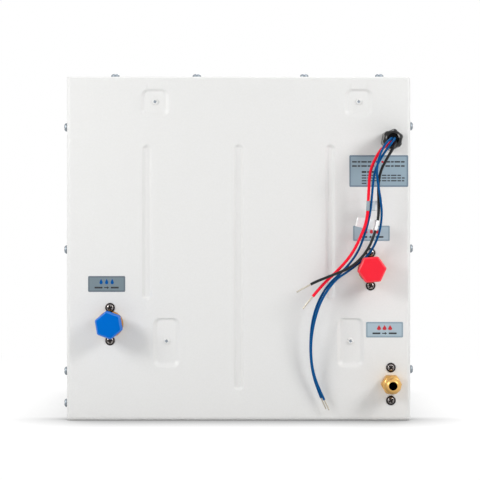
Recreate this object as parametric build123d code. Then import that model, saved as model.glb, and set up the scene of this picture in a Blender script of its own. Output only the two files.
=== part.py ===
"""Built-in tankless gas water heater in a square sheet-steel cabinet.

The service side, with the water, gas and cable connections, faces -Y, and the
door faces +Y.  X runs along the width and Z is up.  The origin is the middle of
the whole heater's footprint, on the surface that it stands on.  Millimetres.
"""
from build123d import *
import math
import os

# ---- cabinet ----------------------------------------------------------------
CABINET_WIDTH = 322.0
CABINET_HEIGHT = 322.0
CABINET_DEPTH = 330.0  # outer face of the rear cover to outer face of the door
SHEET = 1.0  # painted steel
BEND_RADIUS = 2.6  # outside of every fold
CORNER_NOTCH = 3.4  # open corner between two folded flanges
REAR_FLANGE = 24.0
FRONT_FLANGE = 20.0
TOP_TAB = 14.0  # turned-down edge of the top plate

# ---- stamped ribs and screw pads of the rear cover --------------------------
STAMP_DEPTH = 2.2
RIB_PITCH = 85.7
RIB_WIDTH = 9.6
RIB_FLOOR = 2.6
RIB_TOP = 258.6
SIDE_RIB_END = 112.4
MIDDLE_RIB_END = 27.6
PAD_RADIUS = 7.0
PAD_SLOPE = 4.0  # width of the sloping edge of a pad
PAD_FLOOR_RISE = 1.6  # the floor is nearer to a pad's upper edge
UPPER_PAD_SIZE = (27.0, 27.2)
LOWER_PAD_SIZE = (25.6, 47.7)
UPPER_PAD_DROP = 25.2  # from the cabinet's top
LOWER_PAD_Z = 72.6
UPPER_PAD_INSETS = (82.7, 48.5)  # from the left and the right side
LOWER_PAD_INSETS = (93.5, 56.2)

# ---- screws -----------------------------------------------------------------
SCREW_RADIUS = 2.0
SCREW_CLEARANCE = 0.1
SCREW_LENGTH = 7.0
FLANGE_HEAD = (4.2, 3.2)  # radius and height
PAD_HEAD = (3.2, 1.6)
FITTING_HEAD = (4.5, 2.2)
TOP_SCREW_INSETS = ((45.0, 121.7), (99.2, 28.6))  # from the left and the right side
LEFT_SCREW_DROPS = (47.1, 162.1)  # from the cabinet's top
LEFT_SCREW_HEIGHTS = (45.7, 15.6)
RIGHT_SCREW_DROPS = (46.0, 161.0)
RIGHT_SCREW_HEIGHTS = (47.3,)
FLANGE_SCREW_DEPTH = 10.0  # from the rear face to the row of screws

# ---- water and gas connections ----------------------------------------------
COLD_INSET = 40.7  # from the left side
COLD_Z = 90.1
HOT_INSET = 37.5  # from the right side
HOT_Z = 141.5
GAS_INSET = 18.5  # from the right side
GAS_Z = 34.1
FITTING_SCREW_SPACING = 30.8
COLLAR_RADIUS = 12.2
COLLAR_CLEARANCE = 0.2
THREAD_RADIUS = 10.67  # half-inch pipe thread
THREAD_LENGTH = 19.0
WATER_BORE = 7.6
FLANGE_PLATE = (27.0, 42.0, 3.0)  # plate behind the rear cover
STUB_RADIUS = 9.2
STUB_END = 26.0  # inner end of each fitting, from the rear face
CAP_ACROSS_FLATS = 23.2
CAP_RIM = 9.4  # gap between the rear cover and the open end of a cap
CAP_FRONT = 24.2
CAP_CLEARANCE = 0.2
CAP_CHAMFER = 1.5
COLD_CAP_TURN = 40.0
HOT_CAP_TURN = 5.5
GAS_HEX = 17.0
GAS_HEX_FRONT = 10.0
GAS_STUB_RADIUS = 8.0
FLARE_RADIUS = 7.94  # three-eighths flare, 5/8 thread
FLARE_THREAD_END = 22.6
FLARE_NOSE = 25.6
FLARE_LIP = 4.6
GAS_BORE = 3.8

# ---- cable gland ------------------------------------------------------------
GLAND_INSET = 18.5  # from the right side
GLAND_DROP = 59.9  # from the cabinet's top
GLAND_SHANK = 7.6
GLAND_HEX = 17.6
GLAND_HEX_FRONT = 8.0
GLAND_BODY_FRONT = 14.0
GLAND_NUT_RADIUS = 8.2
GLAND_FRONT = 27.0
GLAND_MOUTH = 5.5
GLAND_RIBS = 6
GLAND_TURN = 20.0
LOCKNUT_HEX = 22.0
LOCKNUT_THICKNESS = 4.0
SEAL_FRONT = 17.0

# ---- loose wires: diameter, then route as offsets from the middle of the ----
# ---- seal's face along X, away from the cabinet, and along Z ----------------
BLUE_WIRE = 2.2
RED_WIRE = 2.8
BLACK_WIRE = 2.6
BLUE_ROUTE_RIGHT = [
    (-1.0, 0.0, 0.9), (-1.0, 9.4, 0.9), (-2.6, 13.6, -0.1), (-6.0, 16.8, -3.1),
    (-9.8, 18.4, -7.8), (-13.5, 18.0, -16.5), (-16.0, 14.0, -29.5), (-13.5, 8.0, -44.5),
    (-10.5, 2.8, -59.0), (-9.5, -2.4, -73.0), (-12.0, -7.6, -89.5), (-20.0, -9.8, -106.0),
    (-30.5, -9.2, -115.0), (-41.0, -4.6, -122.5), (-53.5, 0.4, -130.5), (-65.5, 1.4, -147.5),
    (-72.0, -0.8, -166.5), (-75.5, -4.0, -188.0), (-74.5, -7.2, -210.5), (-69.0, -9.6, -229.5),
    (-58.0, -11.6, -252.0),
]
BLUE_ROUTE_LEFT = [
    (1.6, 0.0, 0.9), (1.6, 8.8, 0.9), (0.7, 12.9, -0.5), (-1.5, 15.9, -3.4), (-5.1, 16.9, -7.8),
    (-10.2, 15.4, -15.2), (-17.5, 11.2, -29.0), (-19.0, 6.4, -47.0), (-20.5, 3.4, -67.5),
    (-25.0, 1.2, -86.5), (-32.0, -2.2, -105.5), (-44.5, -5.2, -121.5), (-58.0, -5.2, -133.0),
    (-68.0, -3.2, -148.5), (-74.0, -3.6, -166.5), (-76.0, -6.6, -188.0), (-75.0, -9.6, -210.0),
    (-70.0, -11.8, -230.5), (-61.0, -12.6, -251.0),
]
RED_ROUTE = [
    (-0.6, 0.0, -2.4), (-0.6, 7.6, -2.4), (-2.0, 11.4, -3.3), (-6.0, 13.5, -5.8),
    (-11.5, 13.4, -9.8), (-16.2, 11.6, -17.2), (-21.5, 8.2, -29.5), (-22.5, 6.4, -49.0),
    (-23.5, 4.8, -74.0), (-29.0, 3.4, -89.0), (-37.5, 2.0, -106.5), (-50.5, 0.8, -121.5),
    (-67.0, 0.4, -136.5), (-83.0, 1.0, -157.0),
]
BLACK_ROUTE = [
    (2.2, 0.0, -2.1), (2.2, 7.8, -2.1), (1.8, 11.5, -3.9), (0.4, 14.0, -7.0),
    (-2.4, 14.2, -11.9), (-6.5, 11.8, -19.0), (-12.0, 6.6, -30.5), (-13.5, 1.4, -44.0),
    (-12.0, -0.8, -70.0), (-18.0, 2.8, -92.5), (-27.0, 3.8, -108.5), (-40.0, 4.4, -119.5),
    (-58.0, 4.8, -126.5), (-74.5, 4.8, -133.0), (-89.0, 4.5, -141.5),
]
TAG_THICKNESS = 0.4
TAG_CLEARANCE = 0.15
RED_TAG = (17.0, 9.0)  # length and height of the flag
BLACK_TAG = (19.5, 9.6)

# ---- heater core ------------------------------------------------------------
CORE_INSETS = (65.0, 81.0)  # from the left and the right side of the cabinet
CORE_LENGTH = 126.0
CORE_BACK = 62.0  # from the rear face
CORE_SHEET = 1.0
BURNER_HEIGHT = 50.0
TUBE_RADIUS = 7.5
TUBE_ROWS = 3
TUBE_PITCH = 38.0
TUBE_DROP = 17.0  # tube axis below the top of the chamber
TUBE_CLEARANCE = 0.05
TUBE_BEND = 12.0
TUBE_REACH = 19.0  # bends beyond the chamber's side walls
FIN_COUNT = 8
FIN_SHEET = 0.8
FIN_HEIGHT = 30.0
HOOD_HEIGHT = 36.0
HOOD_TAPER = 12.0
HOOD_CLEARANCE = 18.0  # between the hood and the top plate
DUCT_WIDTH = 118.0
DUCT_HEIGHT = 30.0
DUCT_GAP = 4.0  # between the flue duct and the door's inner side
BURNER_COUNT = 6
BURNER_WIDTH = 13.0
BURNER_NECK = 5.0
BURNER_LEVELS = (4.0, 22.0, 32.0, 40.0)  # foot, shoulder, neck and top of a bar
BURNER_FOOT_INSET = 3.0
FLAME_SLOT = (1.6, 6.0)  # width and depth
ELECTRODE_SPACING = 44.0
ELECTRODE_RISE = 16.0  # above the chamber's lower edge
ELECTRODE_CERAMIC = (3.5, 18.0, 14.0)  # radius, length outside the wall and inside
ELECTRODE_CLEARANCE = 0.1
ELECTRODE_COLLAR = (5.5, 4.0)
ELECTRODE_ROD = (1.0, 30.0)  # radius and reach into the chamber
NOZZLE_RADIUS = 3.0
MANIFOLD_SIZE = 14.0
MANIFOLD_Z = 136.0

# ---- combustion air fan -----------------------------------------------------
FAN_OFFSET_X = -7.0  # from the middle of the core
FAN_OFFSET_DEPTH = 15.0
FAN_Z = 62.0
FAN_OUTLET_RISE = 56.0  # from the fan's axis to the burner tray
FAN_WIDTH = 48.0
FAN_WALL = 1.5
SCROLL_RADII = (37.0, 41.0, 45.0)
SCROLL_START = -2.0
IMPELLER_RADIUS = 31.0
IMPELLER_EYE = 24.0
IMPELLER_WIDTH = 38.0
IMPELLER_DISC = 1.6
BLADE_COUNT = 14
BLADE_SHEET = 1.2
SHAFT_RADIUS = 2.5
SHAFT_CLEARANCE = 0.06
MOTOR_RADIUS = 21.0
MOTOR_LENGTH = 32.0
SHAFT_ENGAGEMENT = 14.0

# ---- water path -------------------------------------------------------------
PIPE_RADIUS = 6.0
PIPE_WALL = 1.0
PIPE_BEND = 14.0
SENSOR_RADIUS = 14.0
SENSOR_LENGTH = 46.0
SENSOR_BORE = 9.0
SENSOR_WALL = 4.0  # end walls of the water block
TURBINE_RADIUS = 8.4
TURBINE_LENGTH = 12.0
TURBINE_VANES = 6
AXLE_RADIUS = 1.2
AXLE_CLEARANCE = 0.05
DRAIN_RADIUS = 6.0
DRAIN_BOSS = (9.0, 16.0)  # radius and length, its middle on the block's underside
DRAIN_SHANK = (-24.0, -16.0)  # ends of the plug's shank below the block's axis
DRAIN_HEAD = (-30.0, -22.0)
DRAIN_HEX = 15.0

# ---- gas train --------------------------------------------------------------
GAS_PIPE_RADIUS = 4.8
VALVE_OFFSET_X = 4.0  # from the core's right side
VALVE_OFFSET_DEPTH = 8.0  # from the core's front
VALVE_Z = 28.0
VALVE_SIZE = (42.0, 44.0, 34.0)
COIL_RADIUS = 11.0
COIL_HEIGHT = 26.0
COIL_SPACING = 24.0

# ---- control box ------------------------------------------------------------
CONTROL_WIDTH = 52.0
CONTROL_HEIGHT = 108.0
CONTROL_LENGTH = 84.0
CONTROL_DROP = 134.0  # from the cabinet's top to the box's floor
CONTROL_SETBACK = 38.0  # from the front face
CONTROL_WALL = 2.0
BOARD_THICKNESS = 1.6
BOARD_MARGIN = 6.0  # between the board's edges and the box
BOARD_FRONT_MARGIN = 20.0
BOARD_POST = (3.0, 5.0)  # radius and height
BOARD_POST_INSET = 12.0
RELAY = (12.0, (38.0, 56.0), (50.0, 64.0))  # height, then spans of depth and Z in the box
TRANSFORMER = (16.0, (12.0, 32.0), (14.0, 40.0))
CAPACITOR = (6.0, 15.0)  # radius and height
CAPACITOR_PLACE = (20.0, 74.0)  # depth and Z in the box
SWITCH_SIZE = (14.0, 21.0)
SWITCH_DROP = 60.0  # from the cabinet's top
SWITCH_GAP = 0.5
ROCKER_ANGLE = 10.0
ROCKER_PIN = 1.0
ROCKER_PIN_CLEARANCE = 0.06
ROCKER_DEPTH = 1.5  # axis of the rocker inside the box's front face
ROCKER_FACE = 3.0
IGNITER_SIZE = (24.0, 48.0, 36.0)
IGNITER_OFFSET = 30.0  # from the core's front
IGNITER_Z = 204.0

# ---- door, hinges and latch -------------------------------------------------
DOOR_GAP = 2.0
FRAME_FACE = 11.0  # width of the front frame's face
DOOR_FLANGE = 14.0
DOOR_REBATE = 1.0  # between the door's flange and the stop lip
STOP_LIP = 8.0
HINGE_INSET = 76.0  # middle of each hinge from the cabinet's bottom and top
HINGE_HEIGHT = 40.0
HINGE_LEAF = 1.2
HINGE_BARREL = 3.2
HINGE_PIN = 1.5
HINGE_CLEARANCE = 0.06
HINGE_LIFT = 0.4  # barrel above the face of the sheet
HINGE_KNUCKLE = 10.0
HINGE_PLAY = 0.3
DOOR_LEAF = 17.0
LOUVRE_COLUMNS = (-62.0, 52.0)
LOUVRE_ROWS = 4
LOUVRE_FIRST_Z = 40.0
LOUVRE_PITCH = 15.0
LOUVRE_LENGTH = 92.0
LOUVRE_HEIGHT = 7.0
LOUVRE_RISE = 3.2
GRILLE_MARGIN = 9.0
GRILLE_SHEET = 1.2
GRILLE_SLOTS = 3
GRILLE_BAR = 3.0
LATCH_INSET = 34.0  # from the right side
LATCH_SPINDLE = 5.0
LATCH_BEZEL = (13.0, 2.4)
LATCH_KNOB = (10.5, 4.2)
LATCH_GRIP = (4.0, 4.6)
LATCH_CLEARANCE = 0.3
CAM_LENGTH = 20.0
CAM_WIDTH = 11.0
CAM_THICKNESS = 2.6
CAM_GAP = 0.6
WALL_HOLE = 2.6
WALL_HOLE_SPACING = 200.0
WALL_HOLE_INSET = 10.0  # from the front face

# ---- places that follow from the sizes above --------------------------------
KNOB_REACH = LATCH_BEZEL[1] + LATCH_CLEARANCE + LATCH_KNOB[1] + LATCH_GRIP[1]
REAR_REACH = max(GLAND_FRONT, CAP_FRONT, FLARE_NOSE)
TOTAL_DEPTH = REAR_REACH + CABINET_DEPTH + KNOB_REACH
REAR_Y = REAR_REACH - TOTAL_DEPTH / 2
FRONT_Y = REAR_Y + CABINET_DEPTH
SHELL_WIDTH = CABINET_WIDTH - 2 * SHEET  # outside of the wrapper
SHELL_TOP = CABINET_HEIGHT - SHEET
INNER_WIDTH = SHELL_WIDTH - 2 * SHEET
INNER_FLOOR = 2 * SHEET
SHELL_START = BEND_RADIUS + 0.2  # clear of the folds inside the two end pans
SHELL_END = CABINET_DEPTH - SHELL_START
LEFT_SIDE = -CABINET_WIDTH / 2
RIGHT_SIDE = CABINET_WIDTH / 2
COLD_X = LEFT_SIDE + COLD_INSET
HOT_X = RIGHT_SIDE - HOT_INSET
GAS_X = RIGHT_SIDE - GAS_INSET
GLAND_X = RIGHT_SIDE - GLAND_INSET
GLAND_Z = CABINET_HEIGHT - GLAND_DROP
UPPER_PAD_Z = CABINET_HEIGHT - UPPER_PAD_DROP
UPPER_PAD_X = (LEFT_SIDE + UPPER_PAD_INSETS[0], RIGHT_SIDE - UPPER_PAD_INSETS[1])
LOWER_PAD_X = (LEFT_SIDE + LOWER_PAD_INSETS[0], RIGHT_SIDE - LOWER_PAD_INSETS[1])
CORE_LEFT = LEFT_SIDE + CORE_INSETS[0]
CORE_RIGHT = RIGHT_SIDE - CORE_INSETS[1]
CORE_WIDTH = CORE_RIGHT - CORE_LEFT
CORE_X = (CORE_LEFT + CORE_RIGHT) / 2
CORE_FRONT = CORE_BACK + CORE_LENGTH
CORE_MIDDLE = CORE_BACK + CORE_LENGTH / 2
BURNER_Z = FAN_Z + FAN_OUTLET_RISE
CHAMBER_Z = BURNER_Z + BURNER_HEIGHT
HOOD_Z = SHELL_TOP - SHEET - HOOD_CLEARANCE - HOOD_HEIGHT
FAN_X = CORE_X + FAN_OFFSET_X
FAN_DEPTH = CORE_MIDDLE + FAN_OFFSET_DEPTH
VALVE_X = CORE_RIGHT + VALVE_OFFSET_X
VALVE_DEPTH = CORE_FRONT + VALVE_OFFSET_DEPTH
TUBE_Z = HOOD_Z - TUBE_DROP
DUCT_Z = HOOD_Z + HOOD_HEIGHT / 2
FRAME_OPENING = CABINET_WIDTH - 2 * FRAME_FACE
FRAME_BOTTOM = FRAME_FACE
DOOR_WIDTH = FRAME_OPENING - 2 * DOOR_GAP
DOOR_HEIGHT = CABINET_HEIGHT - 2 * FRAME_FACE - 2 * DOOR_GAP
DOOR_Z = FRAME_BOTTOM + DOOR_GAP
LIP_BACK = CABINET_DEPTH - DOOR_FLANGE - DOOR_REBATE - SHEET
HINGE_X = -(FRAME_OPENING - DOOR_GAP) / 2
HINGE_Z = (HINGE_INSET, CABINET_HEIGHT - HINGE_INSET)
HINGE_AXIS_DEPTH = CABINET_DEPTH + HINGE_LIFT + HINGE_BARREL
LATCH_X = RIGHT_SIDE - LATCH_INSET
LATCH_Z = CABINET_HEIGHT / 2
CONTROL_X = INNER_WIDTH / 2 - CONTROL_WIDTH
CONTROL_Z = CABINET_HEIGHT - CONTROL_DROP
CONTROL_FRONT = CABINET_DEPTH - CONTROL_SETBACK
SWITCH_Z = CABINET_HEIGHT - SWITCH_DROP
GRILLE_WIDTH = DUCT_WIDTH + 2 * GRILLE_MARGIN
GRILLE_HEIGHT = DUCT_HEIGHT + 2 * GRILLE_MARGIN


# ---- helpers ----------------------------------------------------------------
def block(x, depth, z):
    """Box between two values of X, of depth behind the rear face, and of Z."""
    size = (x[1] - x[0], depth[1] - depth[0], z[1] - z[0])
    middle = ((x[0] + x[1]) / 2, REAR_Y + (depth[0] + depth[1]) / 2, (z[0] + z[1]) / 2)
    return Pos(*middle) * Box(*size)


def outward(x, z, depth=0.0):
    """Plane on the rear side: its X is X, its Y is Z, and its normal leaves the cabinet."""
    return Plane(origin=(x, REAR_Y + depth, z), x_dir=(1, 0, 0), z_dir=(0, -1, 0))


def forward(x, depth, z):
    """Plane whose normal runs towards the door and whose Y is Z."""
    return Plane(origin=(x, REAR_Y + depth, z), x_dir=(-1, 0, 0), z_dir=(0, 1, 0))


def sideways(x, depth, z):
    """Plane whose normal is +X, whose X is the depth and whose Y is Z."""
    return Plane(origin=(x, REAR_Y + depth, z), x_dir=(0, 1, 0), z_dir=(1, 0, 0))


def upright(x, depth, z):
    """Horizontal plane whose normal is +Z."""
    return Plane(origin=(x, REAR_Y + depth, z), x_dir=(1, 0, 0), z_dir=(0, 0, 1))


def disc(radius, start, end):
    """Cylinder along the local Z axis."""
    return Pos(0, 0, (start + end) / 2) * Cylinder(radius, end - start)


def turned(*stations):
    """Solid of revolution about the local Z axis from pairs of radius and height."""
    outline = [(0.0, stations[0][1]), *stations, (0.0, stations[-1][1])]
    return revolve(make_face(Plane.XZ * Polyline(*outline, close=True)), Axis.Z)


def hexagon(across_flats, start, end, turn=0.0):
    """Hexagonal prism along the local Z axis."""
    outline = RegularPolygon(across_flats / 2, 6, major_radius=False, rotation=turn)
    return Pos(0, 0, start) * extrude(outline, end - start)


def folded(points, width, plane):
    """Sheet folded along an outer outline, its thickness to the left of the outline."""
    outline = FilletPolyline(*points, radius=BEND_RADIUS)
    section = make_face(offset(outline, amount=SHEET, side=Side.LEFT, closed=True))
    return plane * (Pos(0, 0, -width / 2) * extrude(section, width))


def folded_pan(width, height, flange, middle, direction):
    """Pan with four folded flanges and open corners; its face is on the middle point.

    direction is 1 for flanges that run towards the door and -1 for the other way.
    """
    across = [(-width / 2, flange), (-width / 2, 0), (width / 2, 0), (width / 2, flange)]
    along = [(-height / 2, flange), (-height / 2, 0), (height / 2, 0), (height / 2, flange)]
    x, y, z = middle
    level = Plane(origin=(x, y, z), x_dir=(direction, 0, 0), z_dir=(0, 0, 1))
    standing = Plane(origin=(x, y, z), x_dir=(0, 0, direction), z_dir=(-1, 0, 0))
    body = folded(across, height - 2 * CORNER_NOTCH, level)
    return body + folded(along, width - 2 * CORNER_NOTCH, standing)


def swept(points, bend, radius, bore=0.0):
    """Round bar or pipe along a route with equal bends, no larger than its runs allow."""
    runs = [math.dist(near, far) for near, far in zip(points, points[1:])]
    room = min([runs[0], runs[-1]] + [run / 2 for run in runs[1:-1]])
    path = FilletPolyline(*points, radius=min(bend, 0.95 * room))
    section = Circle(radius) - Circle(bore) if bore else Circle(radius)
    return sweep(Plane(origin=path @ 0, z_dir=path % 0) * section, path=path)


def at_depth(x, depth, z):
    """Point from X, depth behind the rear face, and Z."""
    return (x, REAR_Y + depth, z)


def screw(head, length=SCREW_LENGTH):
    """Round-headed screw: the head's underside is on the local XY plane."""
    radius, height = head
    crown = turned((radius, 0), (radius, 0.35 * height), (0.55 * radius, height))
    return crown + disc(SCREW_RADIUS, -length, 0)


def stamping(plane, sketch, size, floor_size, rise=0.0):
    """The inner bulge and the outer recess of one stamped form, as (bulge, recess)."""
    run = (size[0] - floor_size[0]) / 2
    gain = SHEET * (math.hypot(run, STAMP_DEPTH) - run) / STAMP_DEPTH
    wide = sketch(size[0] + 2 * gain, size[1] + 2 * gain)
    narrow = sketch(floor_size[0] + 2 * gain, floor_size[1] + 2 * gain)
    bulge = loft([Pos(0, 0, -SHEET) * wide, Pos(0, rise, -SHEET - STAMP_DEPTH) * narrow])
    recess = loft([sketch(*size), Pos(0, rise, -STAMP_DEPTH) * sketch(*floor_size)])
    return plane * bulge, plane * recess


def pad_outline(width, height):
    """Rounded rectangle whose corner gets sharper towards the floor of a pad."""
    return RectangleRounded(width, height, PAD_RADIUS * (width / UPPER_PAD_SIZE[0]) ** 2)


def rib_outline(width, height):
    """Vertical slot with round ends."""
    return SlotOverall(height, width, rotation=90)


# ---- rear cover and cabinet sheets ------------------------------------------
def pad_places():
    """X, Z and size of each stamped pad."""
    upper = [(x, UPPER_PAD_Z, UPPER_PAD_SIZE) for x in UPPER_PAD_X]
    return upper + [(x, LOWER_PAD_Z, LOWER_PAD_SIZE) for x in LOWER_PAD_X]


def pad_screw_planes():
    """Plane of each screw in the middle of a pad's floor."""
    return [outward(x, z + PAD_FLOOR_RISE, STAMP_DEPTH) for x, z, size in pad_places()]


def fitting_places():
    """X and Z of the three pipe connections."""
    return [(COLD_X, COLD_Z), (HOT_X, HOT_Z), (GAS_X, GAS_Z)]


def flange_screw_planes():
    """Plane of each screw that goes through a side or top flange, normal outwards."""
    y = REAR_Y + FLANGE_SCREW_DEPTH
    from_left, from_right = TOP_SCREW_INSETS
    x = [LEFT_SIDE + inset for inset in from_left] + [RIGHT_SIDE - inset for inset in from_right]
    left = [CABINET_HEIGHT - drop for drop in LEFT_SCREW_DROPS] + list(LEFT_SCREW_HEIGHTS)
    right = [CABINET_HEIGHT - drop for drop in RIGHT_SCREW_DROPS] + list(RIGHT_SCREW_HEIGHTS)
    places = [((spot, y, CABINET_HEIGHT), (1, 0, 0), (0, 0, 1)) for spot in x]
    places += [((LEFT_SIDE, y, z), (0, 1, 0), (-1, 0, 0)) for z in left]
    places += [((RIGHT_SIDE, y, z), (0, 1, 0), (1, 0, 0)) for z in right]
    return [Plane(origin=spot, x_dir=along, z_dir=normal) for spot, along, normal in places]


def fitting_screw_planes():
    """Plane of each screw above and below a connection."""
    half = FITTING_SCREW_SPACING / 2
    return [outward(x, z + s * half) for x, z in fitting_places() for s in (1, -1)]


def screw_hole():
    """Clearance hole through sheets on both sides of the local XY plane."""
    return disc(SCREW_RADIUS + SCREW_CLEARANCE, -SCREW_LENGTH, 1.0)


def rear_cover():
    """Pan of painted sheet with stamped ribs and pads, folded over the wrapper."""
    middle = (0, REAR_Y, CABINET_HEIGHT / 2)
    cover = folded_pan(CABINET_WIDTH, CABINET_HEIGHT, REAR_FLANGE, middle, 1)
    ribs = [(-RIB_PITCH, SIDE_RIB_END), (0.0, MIDDLE_RIB_END), (RIB_PITCH, SIDE_RIB_END)]
    forms = []
    for x, end in ribs:
        size = (RIB_WIDTH, RIB_TOP - end)
        floor_size = (RIB_FLOOR, size[1] - RIB_WIDTH + RIB_FLOOR)
        forms.append(stamping(outward(x, (RIB_TOP + end) / 2), rib_outline, size, floor_size))
    for x, z, size in pad_places():
        floor_size = (size[0] - 2 * PAD_SLOPE, size[1] - 2 * PAD_SLOPE)
        forms.append(stamping(outward(x, z), pad_outline, size, floor_size, PAD_FLOOR_RISE))
    cover += [bulge for bulge, recess in forms]
    cover -= [recess for bulge, recess in forms]
    planes = flange_screw_planes() + fitting_screw_planes() + pad_screw_planes()
    cuts = [plane * screw_hole() for plane in planes]
    openings = [
        (COLD_X, COLD_Z, COLLAR_RADIUS), (HOT_X, HOT_Z, COLLAR_RADIUS),
        (GAS_X, GAS_Z, GAS_STUB_RADIUS), (GLAND_X, GLAND_Z, GLAND_SHANK),
    ]
    for x, z, radius in openings:
        cuts.append(outward(x, z) * disc(radius + COLLAR_CLEARANCE, -2 * SHEET, SHEET))
    return cover - cuts


def wall_hole_places():
    """Depth and Z of the fixing holes in each side wall."""
    depth = CABINET_DEPTH - WALL_HOLE_INSET
    return [(depth, CABINET_HEIGHT / 2 + s * WALL_HOLE_SPACING / 2) for s in (1, -1)]


def wall_holes():
    """Cutters for the fixing holes through both side walls."""
    width = CABINET_WIDTH + 2 * SHEET
    hole = disc(WALL_HOLE, -width / 2, width / 2)
    return [sideways(0, depth, z) * hole for depth, z in wall_hole_places()]


def case_wrap():
    """Left wall, floor and right wall, folded from one sheet."""
    points = [
        (-SHELL_WIDTH / 2, SHELL_TOP), (-SHELL_WIDTH / 2, SHEET), (SHELL_WIDTH / 2, SHEET),
        (SHELL_WIDTH / 2, SHELL_TOP),
    ]
    wrap = folded(points, SHELL_END - SHELL_START, outward(0, 0, CABINET_DEPTH / 2))
    return wrap - wall_holes() - [plane * screw_hole() for plane in flange_screw_planes()]


def top_plate():
    """Top cover whose edges turn down inside the wrapper."""
    half = INNER_WIDTH / 2
    low = SHELL_TOP - TOP_TAB
    points = [(half, low), (half, SHELL_TOP), (-half, SHELL_TOP), (-half, low)]
    plate = folded(points, SHELL_END - SHELL_START, outward(0, 0, CABINET_DEPTH / 2))
    return plate - [plane * screw_hole() for plane in flange_screw_planes()]


def ring(half_width, z, wall, depth):
    """Rectangular ring of sheet around the door opening; wall is its width."""
    outer = block((-half_width, half_width), depth, z)
    inside = (-half_width + wall, half_width - wall)
    return outer - block(inside, (depth[0] - 1, depth[1] + 1), (z[0] + wall, z[1] - wall))


def front_frame():
    """Door surround: flanges over the wrapper, face, return and stop lip."""
    middle = (0, FRONT_Y, CABINET_HEIGHT / 2)
    frame = folded_pan(CABINET_WIDTH, CABINET_HEIGHT, FRONT_FLANGE, middle, -1)
    half = FRAME_OPENING / 2
    z = (FRAME_BOTTOM, CABINET_HEIGHT - FRAME_BOTTOM)
    frame -= block((-half, half), (CABINET_DEPTH - 2 * SHEET, CABINET_DEPTH + SHEET), z)
    grown = (z[0] - SHEET, z[1] + SHEET)
    frame += ring(half + SHEET, grown, SHEET, (LIP_BACK, CABINET_DEPTH))
    frame += ring(half + SHEET, grown, SHEET + STOP_LIP, (LIP_BACK, LIP_BACK + SHEET))
    return frame - wall_holes()


def flange_screws():
    """Eleven screws around the rear cover's flanges."""
    return Compound(children=[plane * screw(FLANGE_HEAD) for plane in flange_screw_planes()])


def pad_screws():
    """Four screws in the stamped pads, which hold the core's brackets."""
    return Compound(children=[plane * screw(PAD_HEAD) for plane in pad_screw_planes()])


def fitting_screws():
    """Six screws that hold the three connection plates."""
    return Compound(children=[plane * screw(FITTING_HEAD) for plane in fitting_screw_planes()])


# ---- connections ------------------------------------------------------------
def fitting_plate(x, z):
    """Plate behind the rear cover, with threaded holes for two screws."""
    width, height, thickness = FLANGE_PLATE
    outline = RectangleRounded(width, height, 5.0)
    plate = outward(x, z, SHEET) * (Pos(0, 0, -thickness) * extrude(outline, thickness))
    half = FITTING_SCREW_SPACING / 2
    return plate - [outward(x, z + s * half) * screw_hole() for s in (1, -1)]


def water_fitting(x, z):
    """Brass connection: collar flush with the cover, outer pipe thread, inner stub."""
    nose = turned(
        (COLLAR_RADIUS, -SHEET), (COLLAR_RADIUS, 0), (THREAD_RADIUS, 0),
        (THREAD_RADIUS, THREAD_LENGTH - 1.4), (THREAD_RADIUS - 0.9, THREAD_LENGTH),
    )
    stub = disc(STUB_RADIUS, -STUB_END, -SHEET)
    body = outward(x, z) * (nose + stub) + fitting_plate(x, z)
    return body - outward(x, z) * disc(WATER_BORE, -STUB_END + 3, THREAD_LENGTH + 1)


def gas_fitting():
    """Brass flare connection: hexagon, threaded neck and 45-degree nose."""
    cone = FLARE_RADIUS - 0.7
    neck = turned(
        (FLARE_RADIUS, GAS_HEX_FRONT), (FLARE_RADIUS, FLARE_THREAD_END - 0.7),
        (cone, FLARE_THREAD_END), (FLARE_LIP, FLARE_NOSE),
    )
    hexed = hexagon(GAS_HEX, 0, GAS_HEX_FRONT)
    stub = disc(GAS_STUB_RADIUS, -STUB_END, 0)
    body = outward(GAS_X, GAS_Z) * (neck + hexed + stub) + fitting_plate(GAS_X, GAS_Z)
    return body - outward(GAS_X, GAS_Z) * disc(GAS_BORE, -STUB_END + 3, FLARE_NOSE + 1)


def pipe_cap(x, z, turn):
    """Six-sided plastic cap pushed over a pipe thread."""
    shape = hexagon(CAP_ACROSS_FLATS, CAP_RIM, CAP_FRONT, turn)
    corner = CAP_ACROSS_FLATS / math.sqrt(3)
    rim = corner - 0.6 * CAP_CHAMFER
    shape &= turned(
        (corner + 0.1, CAP_RIM), (corner + 0.1, CAP_FRONT - CAP_CHAMFER),
        (rim - CAP_CHAMFER, CAP_FRONT),
    )
    shape -= disc(THREAD_RADIUS + CAP_CLEARANCE, CAP_RIM - 1, THREAD_LENGTH + 1.2)
    return outward(x, z) * shape


def gland_body():
    """Black nylon gland: hexagon outside the cover, threaded shank through it."""
    shape = hexagon(GLAND_HEX, 0, GLAND_HEX_FRONT, GLAND_TURN)
    shape += disc(GLAND_SHANK, -SHEET - LOCKNUT_THICKNESS - 3, GLAND_BODY_FRONT)
    shape -= disc(GLAND_MOUTH, -SHEET - LOCKNUT_THICKNESS - 4, GLAND_BODY_FRONT + 1)
    return outward(GLAND_X, GLAND_Z) * shape


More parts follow.
